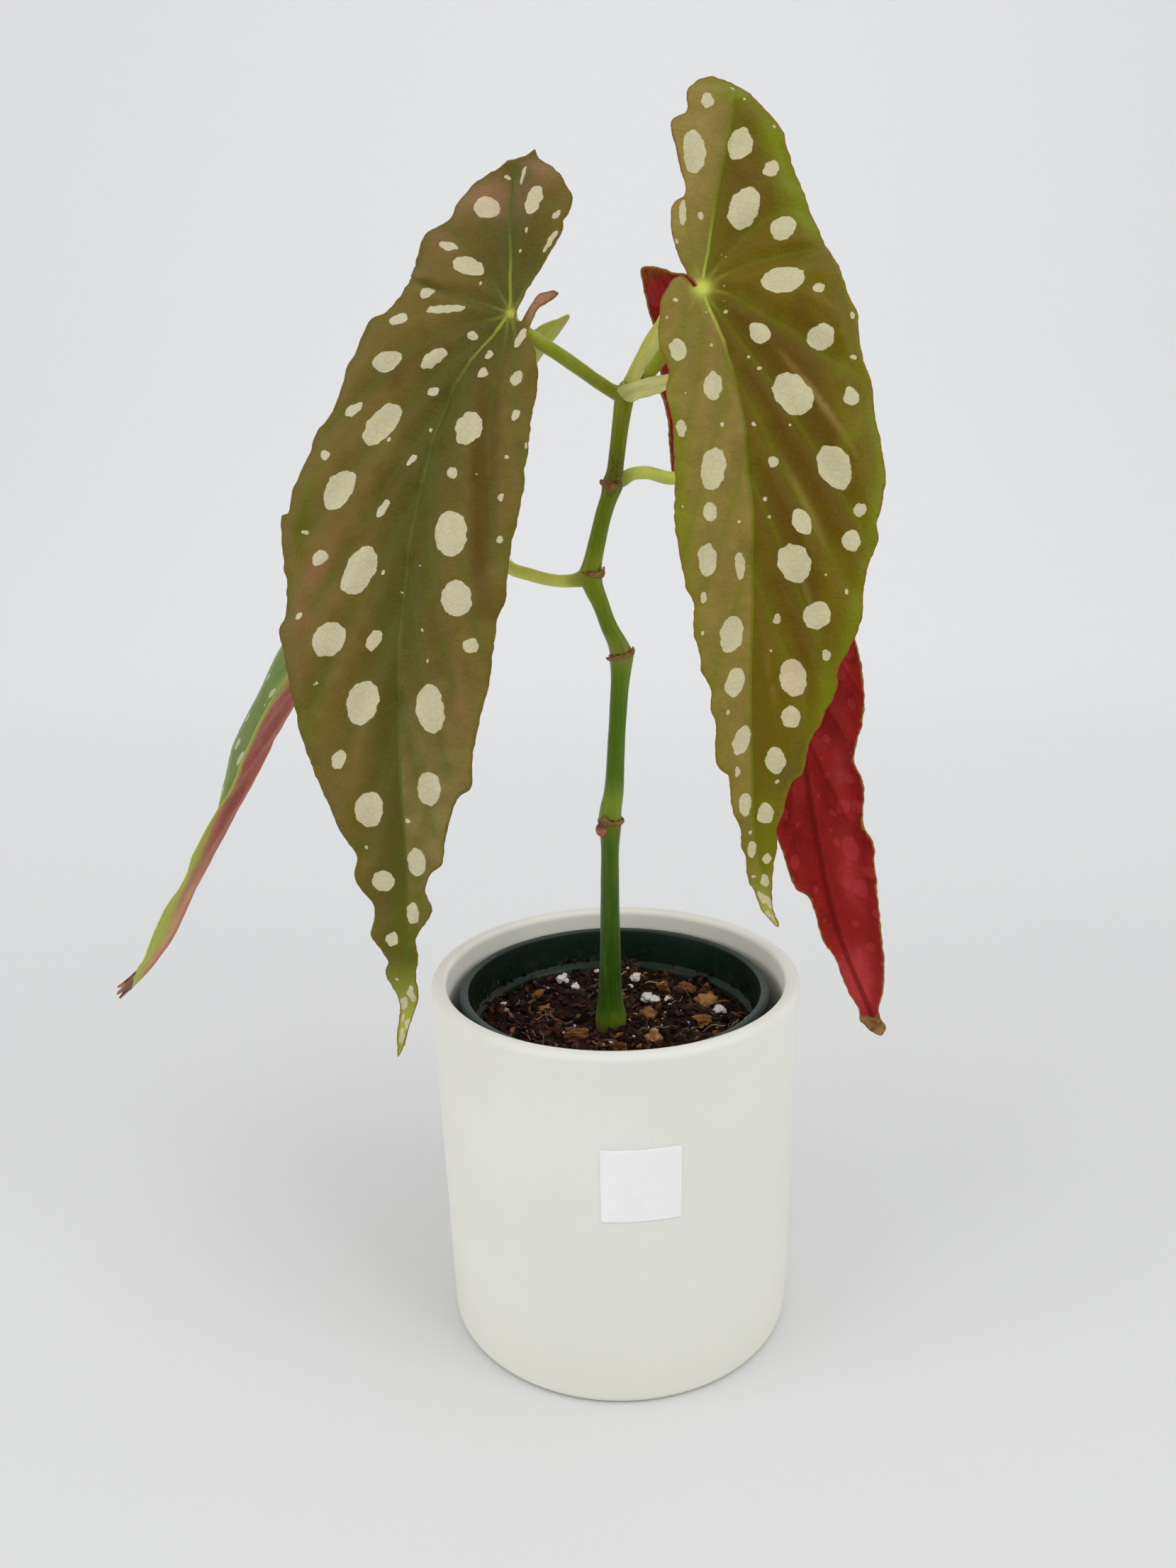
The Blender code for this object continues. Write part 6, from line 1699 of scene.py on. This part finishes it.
# painted light: the paper is coloured lighter towards the back, standing in for more light on the
# backdrop
back = graph.node("SeparateXYZ", {0: place}).outputs[1]
white = graph.mix(graph.ramp(back, 0.1, 1.2), (0.735, 0.74, 0.745), (0.915, 0.92, 0.93))
patchy = graph.math("MULTIPLY", tone.outputs["Cloud"], 0.1)
graph.feed(shader["Base Color"], graph.mix(patchy, white, (0.85, 0.85, 0.85)))
graph.feed(shader["Roughness"], graph.ramp(tone.outputs["Grain"], 0.2, 0.8, 0.8, 0.95))

sweep = bmesh.new()
profile = [(SWEEP_FRONT, 0.0), (SWEEP_BACK, 0.0)]
profile += arc(SWEEP_BACK, SWEEP_CURVE, SWEEP_CURVE, -84, 0, 14)
profile += [(SWEEP_BACK + SWEEP_CURVE, SWEEP_TOP)]
line = [sweep.verts.new((-SWEEP_HALF, y, z)) for y, z in profile]
edges = [sweep.edges.new(pair) for pair in zip(line, line[1:])]
grown = bmesh.ops.extrude_edge_only(sweep, edges=edges)["geom"]
moved = [item for item in grown if isinstance(item, bmesh.types.BMVert)]
bmesh.ops.translate(sweep, vec=(2 * SWEEP_HALF, 0, 0), verts=moved)
bmesh.ops.recalc_face_normals(sweep, faces=sweep.faces)
if sum(face.normal.z for face in sweep.faces) < 0:
    bmesh.ops.reverse_faces(sweep, faces=sweep.faces)
studio_sweep = as_object("studio_sweep", sweep)
studio_sweep.data.shade_smooth()
studio_sweep.data.materials.append(paper_sweep)
studio_sweep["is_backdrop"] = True


def soft_light(name, place, aim, size, watts):
    """A square area light aimed at a point."""
    lamp = bpy.data.lights.new(name, "AREA")
    lamp.shape, lamp.size, lamp.energy = "SQUARE", size, watts
    light = bpy.data.objects.new(name, lamp)
    light.matrix_world = Matrix.Translation(place) @ (
        (Vector(aim) - Vector(place)).to_track_quat("-Z", "Y").to_matrix().to_4x4()
    )
    bpy.context.scene.collection.objects.link(light)


soft_light("overhead", (0.1, -0.25, 1.9), aim=(0, 0, 0.1), size=2.2, watts=9.4)
soft_light("right_key", (1.3, -0.9, 1.2), aim=(0, 0, 0.2), size=1.2, watts=9.8)
soft_light("left_fill", (-1.4, -0.7, 0.8), aim=(0, 0, 0.2), size=1.4, watts=8.9)

# The room is darker behind the camera, so that the satin leaves don't mirror a white wall
world = bpy.data.worlds.new("studio_air")
world.use_nodes = True
graph = Graph(world.node_tree)
heading = graph.node("SeparateXYZ", {0: graph.node("TexCoord").outputs["Generated"]}).outputs[1]
background = world.node_tree.nodes["Background"]
background.inputs["Color"].default_value = (1.0, 1.0, 1.0, 1.0)
graph.feed(background.inputs["Strength"], graph.ramp(heading, -0.5, 0.3, ROOM_BEHIND, ROOM_AHEAD))
bpy.context.scene.world = world
bpy.context.scene.view_settings.view_transform = "Standard"

camera_data = bpy.data.cameras.new("camera")
camera_data.lens = CAMERA_LENS
camera_data.sensor_width = CAMERA_SENSOR
camera_data.clip_start = 0.01
camera = bpy.data.objects.new("camera", camera_data)
camera.matrix_world = (
    Matrix.Translation(CAMERA_PLACE) @ Matrix.Rotation(math.radians(CAMERA_TURN), 4, "Z")
    @ Matrix.Rotation(math.radians(90 - CAMERA_DIP), 4, "X")
    @ Matrix.Rotation(math.radians(CAMERA_ROLL), 4, "Z")
)
bpy.context.scene.collection.objects.link(camera)
bpy.context.scene.camera = camera

low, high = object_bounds()
